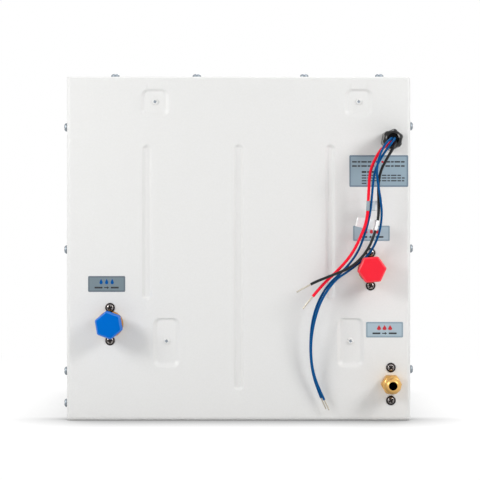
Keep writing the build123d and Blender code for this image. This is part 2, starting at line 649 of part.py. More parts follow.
def gland_nut():
    """Domed gripping nut with six ribs, screwed over the gland body."""
    dome = turned(
        (GLAND_NUT_RADIUS + 0.5, GLAND_HEX_FRONT), (GLAND_NUT_RADIUS, GLAND_FRONT - 5),
        (GLAND_NUT_RADIUS - 0.8, GLAND_FRONT - 1.6), (GLAND_MOUTH + 1.2, GLAND_FRONT),
    )
    rib = Pos(GLAND_NUT_RADIUS, 0, (GLAND_HEX_FRONT + GLAND_FRONT - 6) / 2)
    rib = rib * Box(2.6, 3.4, GLAND_FRONT - 6 - GLAND_HEX_FRONT)
    dome += [Rot(0, 0, 60 * n + GLAND_TURN) * rib for n in range(GLAND_RIBS)]
    dome -= disc(GLAND_SHANK, GLAND_HEX_FRONT - 1, GLAND_BODY_FRONT)
    dome -= disc(GLAND_MOUTH, GLAND_BODY_FRONT - 1, GLAND_FRONT + 1)
    return outward(GLAND_X, GLAND_Z) * dome


def gland_locknut():
    """Hexagonal nut on the gland's shank, behind the rear cover."""
    shape = hexagon(LOCKNUT_HEX, -SHEET - LOCKNUT_THICKNESS, -SHEET) - disc(GLAND_SHANK, -10, 1)
    return outward(GLAND_X, GLAND_Z) * shape


def gland_seal():
    """Rubber bush that grips the four wires inside the gland."""
    return outward(GLAND_X, GLAND_Z) * disc(GLAND_MOUTH, GLAND_BODY_FRONT - 8, SEAL_FRONT)


# ---- wires ------------------------------------------------------------------
def seal_point(offsets):
    """Point from its offsets along X, away from the cabinet, and along Z."""
    across, out, up = offsets
    return Vector(GLAND_X + across, REAR_Y - SEAL_FRONT - out, GLAND_Z + up)


def wire_path(route):
    """Straight runs joined by arcs as large as the runs allow; also the arcs' radii."""
    points = [seal_point(offsets) for offsets in route]
    radii = []
    for before, corner, after in zip(points, points[1:], points[2:]):
        turn = math.radians((corner - before).get_angle(after - corner))
        shorter = min((corner - before).length, (after - corner).length)
        radii.append(0.45 * shorter / math.tan(turn / 2))
    return FilletPolyline(*points, radius=radii), radii


def wire(name, route, diameter):
    """One insulated wire from the gland's seal to its bare end."""
    path, radii = wire_path(route)
    tube = sweep(Plane(origin=path @ 0, z_dir=path % 0) * Circle(diameter / 2), path=path)
    filled = tube.volume / (math.pi * diameter ** 2 / 4 * path.length)
    print(name, "length", round(path.length, 1), "radii", [round(r, 1) for r in radii])
    print(name, "volume over section times length", round(filled, 4))
    return tube


def wire_tag(route, run, flag, side, lean, diameter):
    """Adhesive flag folded round a wire in the middle of one run of its route."""
    start, end = seal_point(route[run]), seal_point(route[run + 1])
    middle = (start + end) / 2
    along = (end - start).normalized()
    reach = Vector(side * math.cos(lean), math.sin(lean), 0)
    reach = (reach - along * reach.dot(along)).normalized()
    plane = Plane(origin=middle, x_dir=reach, z_dir=along)
    inner = diameter / 2 + TAG_CLEARANCE
    outer = inner + TAG_THICKNESS
    length, height = flag
    sleeve = disc(outer, -height / 2, height / 2)
    place = Pos(length / 2, -side * (outer - TAG_THICKNESS / 2), 0)
    sleeve += place * Box(length, TAG_THICKNESS, height)
    return plane * (sleeve - disc(inner, -height, height))


# ---- heater core ------------------------------------------------------------
def core_box(z, depth=(0.0, 0.0), inset=0.0):
    """Block with the core's outline between two heights."""
    x = (CORE_LEFT + inset, CORE_RIGHT - inset)
    return block(x, (CORE_BACK + inset + depth[0], CORE_FRONT - inset + depth[1]), z)


def tube_depths():
    """Depth of each tube's axis, front tube first."""
    first = CORE_MIDDLE + TUBE_PITCH * (TUBE_ROWS - 1) / 2
    return [first - n * TUBE_PITCH for n in range(TUBE_ROWS)]


def combustion_chamber():
    """Copper box, open above and below, that the tubes and electrodes pass through."""
    shape = core_box((CHAMBER_Z, HOOD_Z))
    shape -= core_box((CHAMBER_Z - 1, HOOD_Z + 1), inset=CORE_SHEET)
    hole = disc(TUBE_RADIUS + TUBE_CLEARANCE, -CORE_WIDTH, CORE_WIDTH)
    shape -= [sideways(CORE_X, depth, TUBE_Z) * hole for depth in tube_depths()]
    radius = ELECTRODE_CERAMIC[0] + ELECTRODE_CLEARANCE
    return shape - [plane * disc(radius, -5, 5) for plane in electrode_planes()]


def fin_pack():
    """Copper fins across the tubes."""
    gap = (CORE_WIDTH - 2 * CORE_SHEET) / (FIN_COUNT + 1)
    hole = disc(TUBE_RADIUS + TUBE_CLEARANCE, -CORE_WIDTH, CORE_WIDTH)
    holes = [sideways(CORE_X, depth, TUBE_Z) * hole for depth in tube_depths()]
    depth = (CORE_BACK + CORE_SHEET, CORE_FRONT - CORE_SHEET)
    height = (TUBE_Z - FIN_HEIGHT / 2, TUBE_Z + FIN_HEIGHT / 2)
    fins = []
    for n in range(FIN_COUNT):
        x = CORE_LEFT + CORE_SHEET + gap * (n + 1)
        fins.append(block((x - FIN_SHEET / 2, x + FIN_SHEET / 2), depth, height) - holes)
    return Compound(children=fins)


def water_tubes():
    """One copper tube that crosses the chamber three times."""
    left = CORE_LEFT - TUBE_REACH
    right = CORE_RIGHT + TUBE_REACH
    depths = tube_depths()
    start = at_depth(CORE_LEFT - 4, depths[0], TUBE_Z)
    end = at_depth(CORE_RIGHT + 4, depths[-1], TUBE_Z)
    points = [start]
    for n, (near, far) in enumerate(zip(depths, depths[1:])):
        x = left if n % 2 else right
        points += [at_depth(x, near, TUBE_Z), at_depth(x, far, TUBE_Z)]
    return swept(points + [end], TUBE_BEND, TUBE_RADIUS)


def exhaust_hood():
    """Flue-gas hood over the chamber, with a flat duct towards the door."""
    def solid(inset):
        base = upright(CORE_X, CORE_MIDDLE, HOOD_Z)
        base = base * Rectangle(CORE_WIDTH - 2 * inset, CORE_LENGTH - 2 * inset)
        top = upright(CORE_X, CORE_MIDDLE, HOOD_Z + HOOD_HEIGHT - inset)
        top = top * Rectangle(CORE_WIDTH - 2 * (inset + HOOD_TAPER), CORE_LENGTH - 2 * inset)
        x = (CORE_X - DUCT_WIDTH / 2 + inset, CORE_X + DUCT_WIDTH / 2 - inset)
        z = (DUCT_Z - DUCT_HEIGHT / 2 + inset, DUCT_Z + DUCT_HEIGHT / 2 - inset)
        end = CABINET_DEPTH - DOOR_FLANGE - DUCT_GAP
        return loft([base, top]) + block(x, (CORE_MIDDLE, end + (1 if inset else 0)), z)

    below = core_box((HOOD_Z - 1, HOOD_Z), inset=CORE_SHEET)
    return solid(0.0) - solid(CORE_SHEET) - below


def burner_places():
    """X of each burner bar."""
    pitch = (CORE_WIDTH - 2 * CORE_SHEET) / BURNER_COUNT
    return [CORE_LEFT + CORE_SHEET + pitch * (n + 0.5) for n in range(BURNER_COUNT)]


def scroll_x():
    """X of the two sides of the fan housing."""
    return (FAN_X - FAN_WIDTH / 2, FAN_X + FAN_WIDTH / 2)


def burner_tray():
    """Steel tray that carries the burner bars; air comes up through its floor."""
    tray = core_box((BURNER_Z, CHAMBER_Z))
    tray -= core_box((BURNER_Z + CORE_SHEET, CHAMBER_Z + 1), inset=CORE_SHEET)
    port = FAN_DEPTH + SCROLL_START + FAN_WALL
    side = FAN_DEPTH + scroll_centre()[0] + SCROLL_RADII[-1] - FAN_WALL
    x = scroll_x()
    air = block((x[0] + FAN_WALL, x[1] - FAN_WALL), (port, side), (BURNER_Z - 1, BURNER_Z + 5))
    hole = disc(NOZZLE_RADIUS + 0.3, -4, 4)
    return tray - air - [forward(x, CORE_FRONT, MANIFOLD_Z) * hole for x in burner_places()]


def burner_bars():
    """Burner bars: a bottle-shaped section with a flame slot along the top."""
    half = BURNER_WIDTH / 2
    neck = BURNER_NECK / 2
    low = BURNER_Z + CORE_SHEET
    length = CORE_LENGTH - 2 * CORE_SHEET
    foot, shoulder, throat_level, top = BURNER_LEVELS
    slot = FLAME_SLOT[0] / 2
    floor = top - FLAME_SLOT[1]
    base = half - BURNER_FOOT_INSET
    profile = Polyline(
        (-half, foot), (-half, shoulder), (-neck, throat_level), (-neck, top), (-slot, top), (-slot, floor),
        (slot, floor), (slot, top), (neck, top), (neck, throat_level), (half, shoulder), (half, foot),
        (base, 0), (-base, 0), close=True,
    )
    bar = extrude(make_face(profile), length)
    bars = []
    for x in burner_places():
        throat = forward(x, CORE_FRONT - 12, MANIFOLD_Z) * disc(NOZZLE_RADIUS + 1, 0, 20)
        bars.append(outward(x, low, CORE_FRONT - CORE_SHEET) * bar - throat)
    return Compound(children=bars)


def gas_manifold():
    """Square gas rail with one nozzle for each burner bar."""
    half = MANIFOLD_SIZE / 2
    depth = (CORE_FRONT + 2, CORE_FRONT + 2 + MANIFOLD_SIZE)
    x = (burner_places()[0] - 10, VALVE_X + half)
    rail = block(x, depth, (MANIFOLD_Z - half, MANIFOLD_Z + half))
    nozzle = turned((NOZZLE_RADIUS, 0), (NOZZLE_RADIUS, 4), (1.2, 9))
    for place in burner_places():
        rail += outward(place, MANIFOLD_Z, depth[0]) * nozzle
    foot = block((x[0] + 12, x[0] + 24), (CORE_FRONT, depth[0]), (MANIFOLD_Z + 1, MANIFOLD_Z + 7))
    return rail + foot


def electrode_planes():
    """Plane of the spark and flame electrodes, on the front wall of the chamber."""
    half = ELECTRODE_SPACING / 2
    return [forward(CORE_X + s * half, CORE_FRONT, CHAMBER_Z + ELECTRODE_RISE) for s in (1, -1)]


def electrodes():
    """Ceramic spark and flame electrodes whose rods reach over the burner."""
    radius, outside, inside = ELECTRODE_CERAMIC
    collar, thickness = ELECTRODE_COLLAR
    rod, reach = ELECTRODE_ROD
    shape = disc(radius, -inside, outside) + disc(collar, 0, thickness) + disc(rod, -reach, -inside)
    return Compound(children=[plane * shape for plane in electrode_planes()])


def overheat_switch():
    """Bimetal cut-out on the right wall of the chamber."""
    shape = disc(8.0, 0, 5) + disc(5.0, 5, 9) + Pos(0, 0, 0.5) * Box(26, 8, 1)
    return sideways(CORE_RIGHT, CORE_MIDDLE, CHAMBER_Z + 34) * shape


def core_brackets():
    """Folded brackets that carry the core on the rear cover's pads."""
    inner = SHEET + STAMP_DEPTH
    x = (min(LOWER_PAD_X) - 13, max(LOWER_PAD_X) + 9)
    lower = block(x, (inner, inner + 1.2), (LOWER_PAD_Z - 13, BURNER_Z - 28))
    lower += block(x, (inner, CORE_BACK), (BURNER_Z - 29.2, BURNER_Z - 28))
    lower += block((x[0], CORE_RIGHT), (CORE_BACK - 1.2, CORE_BACK), (BURNER_Z - 29.2, BURNER_Z + 14))
    x = (min(UPPER_PAD_X) - 13, max(UPPER_PAD_X) + 13)
    upper = block(x, (inner, inner + 1.2), (UPPER_PAD_Z - 9, UPPER_PAD_Z + 9))
    upper += block(x, (inner, CORE_BACK), (UPPER_PAD_Z - 10.2, UPPER_PAD_Z - 9))
    low = HOOD_Z + 4
    upper += block((x[0], CORE_RIGHT - 8), (CORE_BACK - 1.2, CORE_BACK), (low, UPPER_PAD_Z - 9))
    cuts = [plane * screw_hole() for plane in pad_screw_planes()]
    return Compound(children=[lower - cuts, upper - cuts])


# ---- fan --------------------------------------------------------------------
def scroll_centre():
    """Centre of the scroll's last arc, from the fan's axis."""
    first, second, third = SCROLL_RADII
    return (SCROLL_START - first + second, third - second)


def scroll_outline(inset=0.0):
    """Spiral of three quarter arcs with an upward outlet, in depth and height."""
    first, second, third = [radius - inset for radius in SCROLL_RADII]
    top = BURNER_Z - FAN_Z + (1 if inset else 0)
    start = (SCROLL_START + (inset if inset else 0), first)
    arc_1 = JernArc(start=(SCROLL_START, first), tangent=(-1, 0), radius=first, arc_size=90)
    arc_2 = JernArc(start=arc_1 @ 1, tangent=(0, -1), radius=second, arc_size=90)
    arc_3 = JernArc(start=arc_2 @ 1, tangent=(1, 0), radius=third, arc_size=90)
    edge = (arc_3 @ 1).X
    lead = Polyline(arc_3 @ 1, (edge, top), (start[0], top), start)
    lines = [arc_1, arc_2, arc_3, lead]
    if inset:
        lines.append(Line(start, (SCROLL_START, first)))
    return make_face(lines)


def fan_housing():
    """Scroll housing: inlet eye on the left, outlet up into the burner tray."""
    left, right = scroll_x()
    plane = sideways(left, FAN_DEPTH, FAN_Z)
    shell = plane * extrude(scroll_outline(), FAN_WIDTH)
    foot_x = (left + 8, right - 8)
    shell += block(foot_x, (FAN_DEPTH - 16, FAN_DEPTH + 18), (INNER_FLOOR, FAN_Z - 30))
    shell -= plane * (Pos(0, 0, FAN_WALL) * extrude(scroll_outline(FAN_WALL), FAN_WIDTH - 2 * FAN_WALL))
    shell -= plane * disc(IMPELLER_EYE, -1, FAN_WALL + 1)
    return shell - plane * disc(SHAFT_RADIUS + 1.5, FAN_WIDTH - FAN_WALL - 1, FAN_WIDTH + 1)


def fan_impeller():
    """Forward-curved wheel: back disc, hub, blades and front ring, with its shaft."""
    back = FAN_WIDTH / 2 + IMPELLER_WIDTH / 2
    front = back - IMPELLER_WIDTH
    wheel = disc(IMPELLER_RADIUS, back - IMPELLER_DISC, back)
    rim = disc(IMPELLER_RADIUS, front, front + 2) - disc(IMPELLER_EYE + 2, front - 1, front + 3)
    wheel += rim + disc(7.0, back - 12, back)
    inner = IMPELLER_EYE + 1.5
    chord = IMPELLER_RADIUS - 0.6
    points = ((inner, 0), ((inner + chord) / 2, 0.6), (chord * math.cos(0.14), chord * math.sin(0.14)))
    outline = offset(ThreePointArc(*points), amount=BLADE_SHEET, side=Side.LEFT, closed=True)
    blade = Pos(0, 0, front + 1) * extrude(make_face(outline), IMPELLER_WIDTH - 2)
    wheel += [Rot(0, 0, 360 / BLADE_COUNT * n) * blade for n in range(BLADE_COUNT)]
    wheel += disc(SHAFT_RADIUS, back - 1, FAN_WIDTH + SHAFT_ENGAGEMENT)
    return sideways(scroll_x()[0], FAN_DEPTH, FAN_Z) * wheel


def fan_motor():
    """Motor on the right side of the fan housing; its bearing takes the shaft."""
    body = turned(
        (MOTOR_RADIUS, 0), (MOTOR_RADIUS, MOTOR_LENGTH - 4), (MOTOR_RADIUS - 4, MOTOR_LENGTH),
    )
    body -= disc(SHAFT_RADIUS + SHAFT_CLEARANCE, -1, SHAFT_ENGAGEMENT + 1)
    return sideways(scroll_x()[1], FAN_DEPTH, FAN_Z) * body


# ---- water pipes ------------------------------------------------------------
def flow_sensor_body():
    """Brass water block behind the cold connection, with the drain boss below."""
    start = STUB_END
    plane = forward(COLD_X, start, COLD_Z)
    middle = SENSOR_LENGTH / 2
    body = plane * disc(SENSOR_RADIUS, 0, SENSOR_LENGTH)
    body += Pos(COLD_X, REAR_Y + start + middle, COLD_Z - SENSOR_RADIUS) * Cylinder(*DRAIN_BOSS)
    wall = SENSOR_WALL
    body -= plane * disc(SENSOR_BORE, wall, SENSOR_LENGTH - wall)
    engagement = TURBINE_LENGTH / 3
    near = middle - TURBINE_LENGTH / 2 + engagement
    body += plane * disc(AXLE_RADIUS, wall - 1, near)
    body += plane * disc(AXLE_RADIUS, SENSOR_LENGTH - near, SENSOR_LENGTH - wall + 1)
    pilot = disc(DRAIN_RADIUS, *DRAIN_SHANK)
    return body - Pos(COLD_X, REAR_Y + start + middle, COLD_Z) * pilot


def flow_turbine():
    """Vaned rotor that turns on the block's axle stubs."""
    rotor = disc(4.0, -TURBINE_LENGTH / 2, TURBINE_LENGTH / 2)
    vane = Pos(TURBINE_RADIUS / 2, 0, 0) * Box(TURBINE_RADIUS, 1.2, TURBINE_LENGTH)
    rotor += [Rot(0, 0, 360 / TURBINE_VANES * n) * vane for n in range(TURBINE_VANES)]
    rotor -= disc(AXLE_RADIUS + AXLE_CLEARANCE, -TURBINE_LENGTH, TURBINE_LENGTH)
    return forward(COLD_X, STUB_END + SENSOR_LENGTH / 2, COLD_Z) * rotor


def drain_plug():
    """Hexagonal plug under the water block."""
    middle = STUB_END + SENSOR_LENGTH / 2
    plug = disc(DRAIN_RADIUS, *DRAIN_SHANK) + hexagon(DRAIN_HEX, *DRAIN_HEAD)
    return Pos(COLD_X, REAR_Y + middle, COLD_Z) * plug


def inlet_pipe():
    """Copper pipe from the water block up to the front tube."""
    depth = tube_depths()[0]
    points = [
        at_depth(COLD_X, STUB_END + SENSOR_LENGTH, COLD_Z), at_depth(COLD_X, depth, COLD_Z),
        at_depth(COLD_X, depth, TUBE_Z), at_depth(CORE_LEFT - 4, depth, TUBE_Z),
    ]
    return swept(points, PIPE_BEND, PIPE_RADIUS, PIPE_RADIUS - PIPE_WALL)


def outlet_pipe():
    """Copper pipe from the last tube down to the hot connection."""
    depth = tube_depths()[-1]
    points = [
        at_depth(CORE_RIGHT + 4, depth, TUBE_Z), at_depth(HOT_X, depth, TUBE_Z),
        at_depth(HOT_X, depth, HOT_Z), at_depth(HOT_X, STUB_END, HOT_Z),
    ]
    return swept(points, PIPE_BEND, PIPE_RADIUS, PIPE_RADIUS - PIPE_WALL)


def outlet_thermistor():
    """Temperature probe on a saddle around the outlet pipe."""
    middle = (TUBE_Z + HOT_Z) / 2
    plane = upright(HOT_X, tube_depths()[-1], middle)
    shape = disc(PIPE_RADIUS + 1.5, -7, 7) + Pos(0, PIPE_RADIUS + 3, 0) * Box(7, 8, 7)
    return plane * (shape - disc(PIPE_RADIUS, -8, 8))


# ---- gas train --------------------------------------------------------------
def valve_top():
    """Height of the top of the gas valve."""
    return VALVE_Z + VALVE_SIZE[2]


def gas_pipe():
    """Steel pipe from the gas connection round to the side of the gas valve."""
    points = [
        at_depth(GAS_X, STUB_END, GAS_Z), at_depth(GAS_X, VALVE_DEPTH, GAS_Z),
        at_depth(VALVE_X + VALVE_SIZE[0] / 2, VALVE_DEPTH, GAS_Z),
    ]
    return swept(points, PIPE_BEND, GAS_PIPE_RADIUS, GAS_PIPE_RADIUS - PIPE_WALL)


def gas_valve():
    """Cast valve block on a foot, with the outlet pipe up to the gas rail."""
    width, length, height = VALVE_SIZE
    body = block(
        (VALVE_X - width / 2, VALVE_X + width / 2),
        (VALVE_DEPTH - length / 2, VALVE_DEPTH + length / 2),
        (VALVE_Z, valve_top()),
    )
    body = fillet(body.edges().filter_by(Axis.Z), 4.0)
    foot = (VALVE_DEPTH - 10, VALVE_DEPTH + 10)
    body += block((VALVE_X - 12, VALVE_X + 12), foot, (INNER_FLOOR, VALVE_Z))
    middle = CORE_FRONT + 2 + MANIFOLD_SIZE / 2
    top = MANIFOLD_Z - MANIFOLD_SIZE / 2
    return body + upright(VALVE_X, middle, 0) * disc(GAS_PIPE_RADIUS, valve_top() - 1, top)


def valve_coils():
    """Two solenoid coils on the front of the gas valve."""
    front = VALVE_DEPTH + VALVE_SIZE[1] / 2
    middle = VALVE_Z + VALVE_SIZE[2] / 2
    coil = disc(COIL_RADIUS, 0, COIL_HEIGHT) + disc(4.0, COIL_HEIGHT, COIL_HEIGHT + 4)
    half = COIL_SPACING / 2
    return Compound(children=[forward(VALVE_X + s * half, front, middle) * coil for s in (1, -1)])


# ---- controls ---------------------------------------------------------------
def control_span():
    """Depth and Z of the control box."""
    return (CONTROL_FRONT - CONTROL_LENGTH, CONTROL_FRONT), (CONTROL_Z, CONTROL_Z + CONTROL_HEIGHT)


def control_box():
    """Plastic tray on the right wall, open towards the core."""
    depth, z = control_span()
    right = INNER_WIDTH / 2
    wall = CONTROL_WALL
    tray = block((CONTROL_X, right), depth, z)
    tray = fillet(tray.edges().filter_by(Axis.X), 4.0)
    inside = block(
        (CONTROL_X - 1, right - wall), (depth[0] + wall, depth[1] - wall), (z[0] + wall, z[1] - wall)
    )
    width, height = SWITCH_SIZE
    middle = (CONTROL_X + right) / 2
    window = block(
        (middle - width / 2, middle + width / 2), (depth[1] - 2 * wall, depth[1] + 1),
        (SWITCH_Z - height / 2, SWITCH_Z + height / 2),
    )
    return tray - inside - window


def control_cover():
    """Lid of the control box, stepped into the tray."""
    depth, z = control_span()
    wall = CONTROL_WALL
    lid = block((CONTROL_X - wall, CONTROL_X), depth, z)
    lid = fillet(lid.edges().filter_by(Axis.X), 4.0)
    inset = wall + 0.2
    lid += block(
        (CONTROL_X, CONTROL_X + 3), (depth[0] + inset, depth[1] - inset), (z[0] + inset, z[1] - inset)
    )
    edge = wall + 2.0
    return lid - block(
        (CONTROL_X, CONTROL_X + 4), (depth[0] + edge, depth[1] - edge), (z[0] + edge, z[1] - edge)
    )


def circuit_board():
    """Controller board with its relay, transformer and capacitors."""
    depth, z = control_span()
    wall = CONTROL_WALL
    radius, height = BOARD_POST
    back = INNER_WIDTH / 2 - wall - height
    face = back - BOARD_THICKNESS
    margin = BOARD_MARGIN
    board = block(
        (face, back), (depth[0] + margin, depth[1] - BOARD_FRONT_MARGIN), (z[0] + margin, z[1] - margin)
    )
    inset = BOARD_POST_INSET
    post_depths = (depth[0] + inset, depth[1] - BOARD_FRONT_MARGIN - inset + margin)
    for post_depth in post_depths:
        for post_z in (z[0] + inset, z[1] - inset):
            board += sideways(back, post_depth, post_z) * disc(radius, 0, height)
    for rise, along, up in (RELAY, TRANSFORMER):
        spans = [(depth[0] + v for v in along), (z[0] + v for v in up)]
        board += block((face - rise, face), *[tuple(span) for span in spans])
    spot = at_depth(face, depth[0] + CAPACITOR_PLACE[0], z[0] + CAPACITOR_PLACE[1])
    cap = Plane(origin=spot, x_dir=(0, 1, 0), z_dir=(-1, 0, 0))
    return board + cap * disc(CAPACITOR[0], 0, CAPACITOR[1])


def switch_middle():
    """X and Z of the power switch."""
    return ((CONTROL_X + INNER_WIDTH / 2) / 2, SWITCH_Z)


def rocker_plane():
    """Plane at the rocker's cross pin: its X is Z and its Y leaves the box."""
    x, z = switch_middle()
    return Plane(origin=at_depth(x, CONTROL_FRONT - ROCKER_DEPTH, z), x_dir=(0, 0, 1), z_dir=(-1, 0, 0))


def switch_bezel():
    """Frame of the power switch, clipped into the control box."""
    x, z = switch_middle()
    width, height = SWITCH_SIZE
    plane = forward(x, CONTROL_FRONT, z)
    flange = plane * extrude(Rectangle(width + 4, height + 4), 2.0)
    body = plane * (Pos(0, 0, -9) * extrude(Rectangle(width, height), 9))
    hole = plane * (Pos(0, 0, -8) * extrude(Rectangle(width - 3, height - 3), 12))
    pin = disc(ROCKER_PIN + ROCKER_PIN_CLEARANCE, -width, width)
    return flange + body - hole - rocker_plane() * pin


def switch_rocker():
    """Rocker that tips about a cross pin; it rests with its lower end pressed."""
    width, height = SWITCH_SIZE
    half = (height - 3) / 2 - SWITCH_GAP - 0.6
    wide = (width - 3) / 2 - SWITCH_GAP
    face = ROCKER_FACE
    rise = face + half * math.tan(math.radians(ROCKER_ANGLE))
    profile = Polyline(
        (-half, rise), (0, face), (half, rise), (half - 1.2, 0.4), (2, -2.4), (-2, -2.4), (1.2 - half, 0.4),
        close=True,
    )
    body = Pos(0, 0, -wide) * extrude(make_face(profile), 2 * wide)
    body += disc(ROCKER_PIN, 0.2 - width / 2, width / 2 - 0.2)
    return rocker_plane() * (Rot(0, 0, ROCKER_ANGLE) * body)


def igniter():
    """Spark generator block on the left wall."""
    width, length, height = IGNITER_SIZE
    left = -INNER_WIDTH / 2
    start = CORE_FRONT + IGNITER_OFFSET
    body = block((left, left + width), (start, start + length), (IGNITER_Z, IGNITER_Z + height))
    body = fillet(body.edges().filter_by(Axis.X), 3.0)
    plane = sideways(left + width, start + length / 2, IGNITER_Z + height / 2)
    return body + [plane * (Pos(s * length / 4, 0, 0) * disc(3.5, 0, 7)) for s in (1, -1)]


# ---- door, hinges and latch -------------------------------------------------
def louvre_places():
    """X and Z of each air-inlet louvre in the door."""
    rows = [LOUVRE_FIRST_Z + n * LOUVRE_PITCH for n in range(LOUVRE_ROWS)]
    return [(x, z) for x in LOUVRE_COLUMNS for z in rows]


def louvre():
    """Pressed hood of one louvre and the slot under it, as (hood, slot)."""
    half = LOUVRE_LENGTH / 2
    thin = SHEET
    outer = Polyline((0, 0), (LOUVRE_HEIGHT, 0), (0, LOUVRE_RISE), close=True)
    hood = Pos(0, 0, -half) * extrude(make_face(outer), LOUVRE_LENGTH)
    inner = Polyline(
        (-1, -2 * thin), (LOUVRE_HEIGHT - 2.4, -2 * thin), (LOUVRE_HEIGHT - 2.4, 0),
        (0, LOUVRE_RISE - thin), (-1, LOUVRE_RISE - thin), close=True,
    )
    slot = Pos(0, 0, thin - half) * extrude(make_face(inner), LOUVRE_LENGTH - 2 * thin)
    below = Polyline((-3, -3), (0, -3), (0, 6), (-3, 6), close=True)
    return hood, slot - Pos(0, 0, -half) * extrude(make_face(below), LOUVRE_LENGTH)


def door_panel():
    """Door pan with louvres, flue-gas opening and latch hole."""
    middle = (0, FRONT_Y, DOOR_Z + DOOR_HEIGHT / 2)
    panel = folded_pan(DOOR_WIDTH, DOOR_HEIGHT, DOOR_FLANGE, middle, -1)
    hood, slot = louvre()
    planes = [
        Plane(origin=at_depth(x, CABINET_DEPTH, z), x_dir=(0, 0, 1), z_dir=(-1, 0, 0))
        for x, z in louvre_places()
    ]
    panel += [plane * hood for plane in planes]
    panel -= [plane * slot for plane in planes]
    half = DUCT_WIDTH / 2
    depth = (CABINET_DEPTH - 2 * SHEET, CABINET_DEPTH + SHEET)
    window = (DUCT_Z - DUCT_HEIGHT / 2, DUCT_Z + DUCT_HEIGHT / 2)
    panel -= block((CORE_X - half, CORE_X + half), depth, window)
    return panel - forward(LATCH_X, CABINET_DEPTH, LATCH_Z) * disc(LATCH_BEZEL[0] - 4, -3, 3)


def outlet_grille():
    """Stainless grille over the flue-gas opening, with horizontal slots."""
    x = (CORE_X - GRILLE_WIDTH / 2, CORE_X + GRILLE_WIDTH / 2)
    z = (DUCT_Z - GRILLE_HEIGHT / 2, DUCT_Z + GRILLE_HEIGHT / 2)
    plate = block(x, (CABINET_DEPTH, CABINET_DEPTH + GRILLE_SHEET), z)
    plate = fillet(plate.edges().filter_by(Axis.Y), 5.0)
    slot = (DUCT_HEIGHT - GRILLE_BAR * (GRILLE_SLOTS - 1)) / GRILLE_SLOTS
    for n in range(GRILLE_SLOTS):
        low = DUCT_Z - DUCT_HEIGHT / 2 + n * (slot + GRILLE_BAR)
        span = (CORE_X - DUCT_WIDTH / 2, CORE_X + DUCT_WIDTH / 2)
        plate -= block(span, (CABINET_DEPTH - 1, CABINET_DEPTH + 3), (low, low + slot))
    return plate


def barrel(low, high, bore):
    """Length of hinge barrel around the hinge axis."""
    plane = upright(HINGE_X, HINGE_AXIS_DEPTH, 0)
    return plane * (disc(HINGE_BARREL, low, high) - disc(bore, low - 1, high + 1))


def hinge_frame_leaves():
    """Leaves on the frame, each with an upper and a lower knuckle."""
    leaves = []
    for z in HINGE_Z:
        low, high = z - HINGE_HEIGHT / 2, z + HINGE_HEIGHT / 2
        edge = -CABINET_WIDTH / 2 + BEND_RADIUS + 0.4
        depth = (CABINET_DEPTH, CABINET_DEPTH + HINGE_LEAF)
        leaf = block((edge, HINGE_X), depth, (low, high))
        middle = (low + HINGE_KNUCKLE, high - HINGE_KNUCKLE)
        gap = HINGE_BARREL + 0.5
        leaf -= block((HINGE_X - gap, HINGE_X + 1), (CABINET_DEPTH - 1, CABINET_DEPTH + 3), middle)
        bore = HINGE_PIN
        leaf += barrel(low, low + HINGE_KNUCKLE, bore) + barrel(high - HINGE_KNUCKLE, high, bore)
        leaves.append(leaf - upright(HINGE_X, HINGE_AXIS_DEPTH, 0) * disc(bore, low - 1, high + 1))
    return Compound(children=leaves)


def hinge_door_leaves():
    """Leaves on the door, each with one middle knuckle."""
    leaves = []
    for z in HINGE_Z:
        low, high = z - HINGE_HEIGHT / 2, z + HINGE_HEIGHT / 2
        depth = (CABINET_DEPTH, CABINET_DEPTH + HINGE_LEAF)
        gap = HINGE_BARREL + 0.5
        leaf = block((HINGE_X + gap, HINGE_X + DOOR_LEAF), depth, (low, high))
        middle = (low + HINGE_KNUCKLE + HINGE_PLAY, high - HINGE_KNUCKLE - HINGE_PLAY)
        leaf += block((HINGE_X, HINGE_X + gap), depth, middle)
        bore = HINGE_PIN + HINGE_CLEARANCE
        leaf += barrel(middle[0], middle[1], bore)
        leaves.append(leaf - upright(HINGE_X, HINGE_AXIS_DEPTH, 0) * disc(bore, low - 1, high + 1))
    return Compound(children=leaves)


def hinge_pins():
    """Pins pressed into the frame leaves."""
    plane = upright(HINGE_X, HINGE_AXIS_DEPTH, 0)
    half = HINGE_HEIGHT / 2
    return Compound(children=[plane * disc(HINGE_PIN, z - half, z + half) for z in HINGE_Z])


def latch_bezel():
    """Plastic bush of the latch, clipped into the door."""
    plane = forward(LATCH_X, CABINET_DEPTH, LATCH_Z)
    radius, height = LATCH_BEZEL
    shape = disc(radius, 0, height) + disc(radius - 4, -8, 0)
    return plane * (shape - disc(LATCH_SPINDLE + LATCH_CLEARANCE, -9, height + 1))


def cam_depth():
    """Depth of the latch tongue's two faces, just behind the frame's stop lip."""
    front = LIP_BACK - CAM_GAP
    return (front - CAM_THICKNESS, front)


def latch_knob():
    """Quarter-turn knob with a raised grip, and its spindle."""
    radius, height = LATCH_KNOB
    start = LATCH_BEZEL[1] + LATCH_CLEARANCE
    knob = turned((radius, start), (radius, start + height - 1), (radius - 1, start + height))
    grip = Pos(0, 0, start + height + LATCH_GRIP[1] / 2 - 0.01)
    knob += grip * Box(LATCH_GRIP[0], 2 * radius - 5, LATCH_GRIP[1] + 0.02)
    end = cam_depth()[1] - CABINET_DEPTH
    knob += disc(LATCH_SPINDLE, end, start)
    return forward(LATCH_X, CABINET_DEPTH, LATCH_Z) * knob


def latch_cam():
    """Steel tongue on the spindle's inner end, upright while the latch is open."""
    back, front = cam_depth()
    plane = forward(LATCH_X, back, LATCH_Z)
    tongue = Pos(0, CAM_LENGTH / 2, CAM_THICKNESS / 2) * Box(CAM_WIDTH, CAM_LENGTH, CAM_THICKNESS)
    return plane * (tongue + disc(CAM_WIDTH / 2 + 1, 0, CAM_THICKNESS))


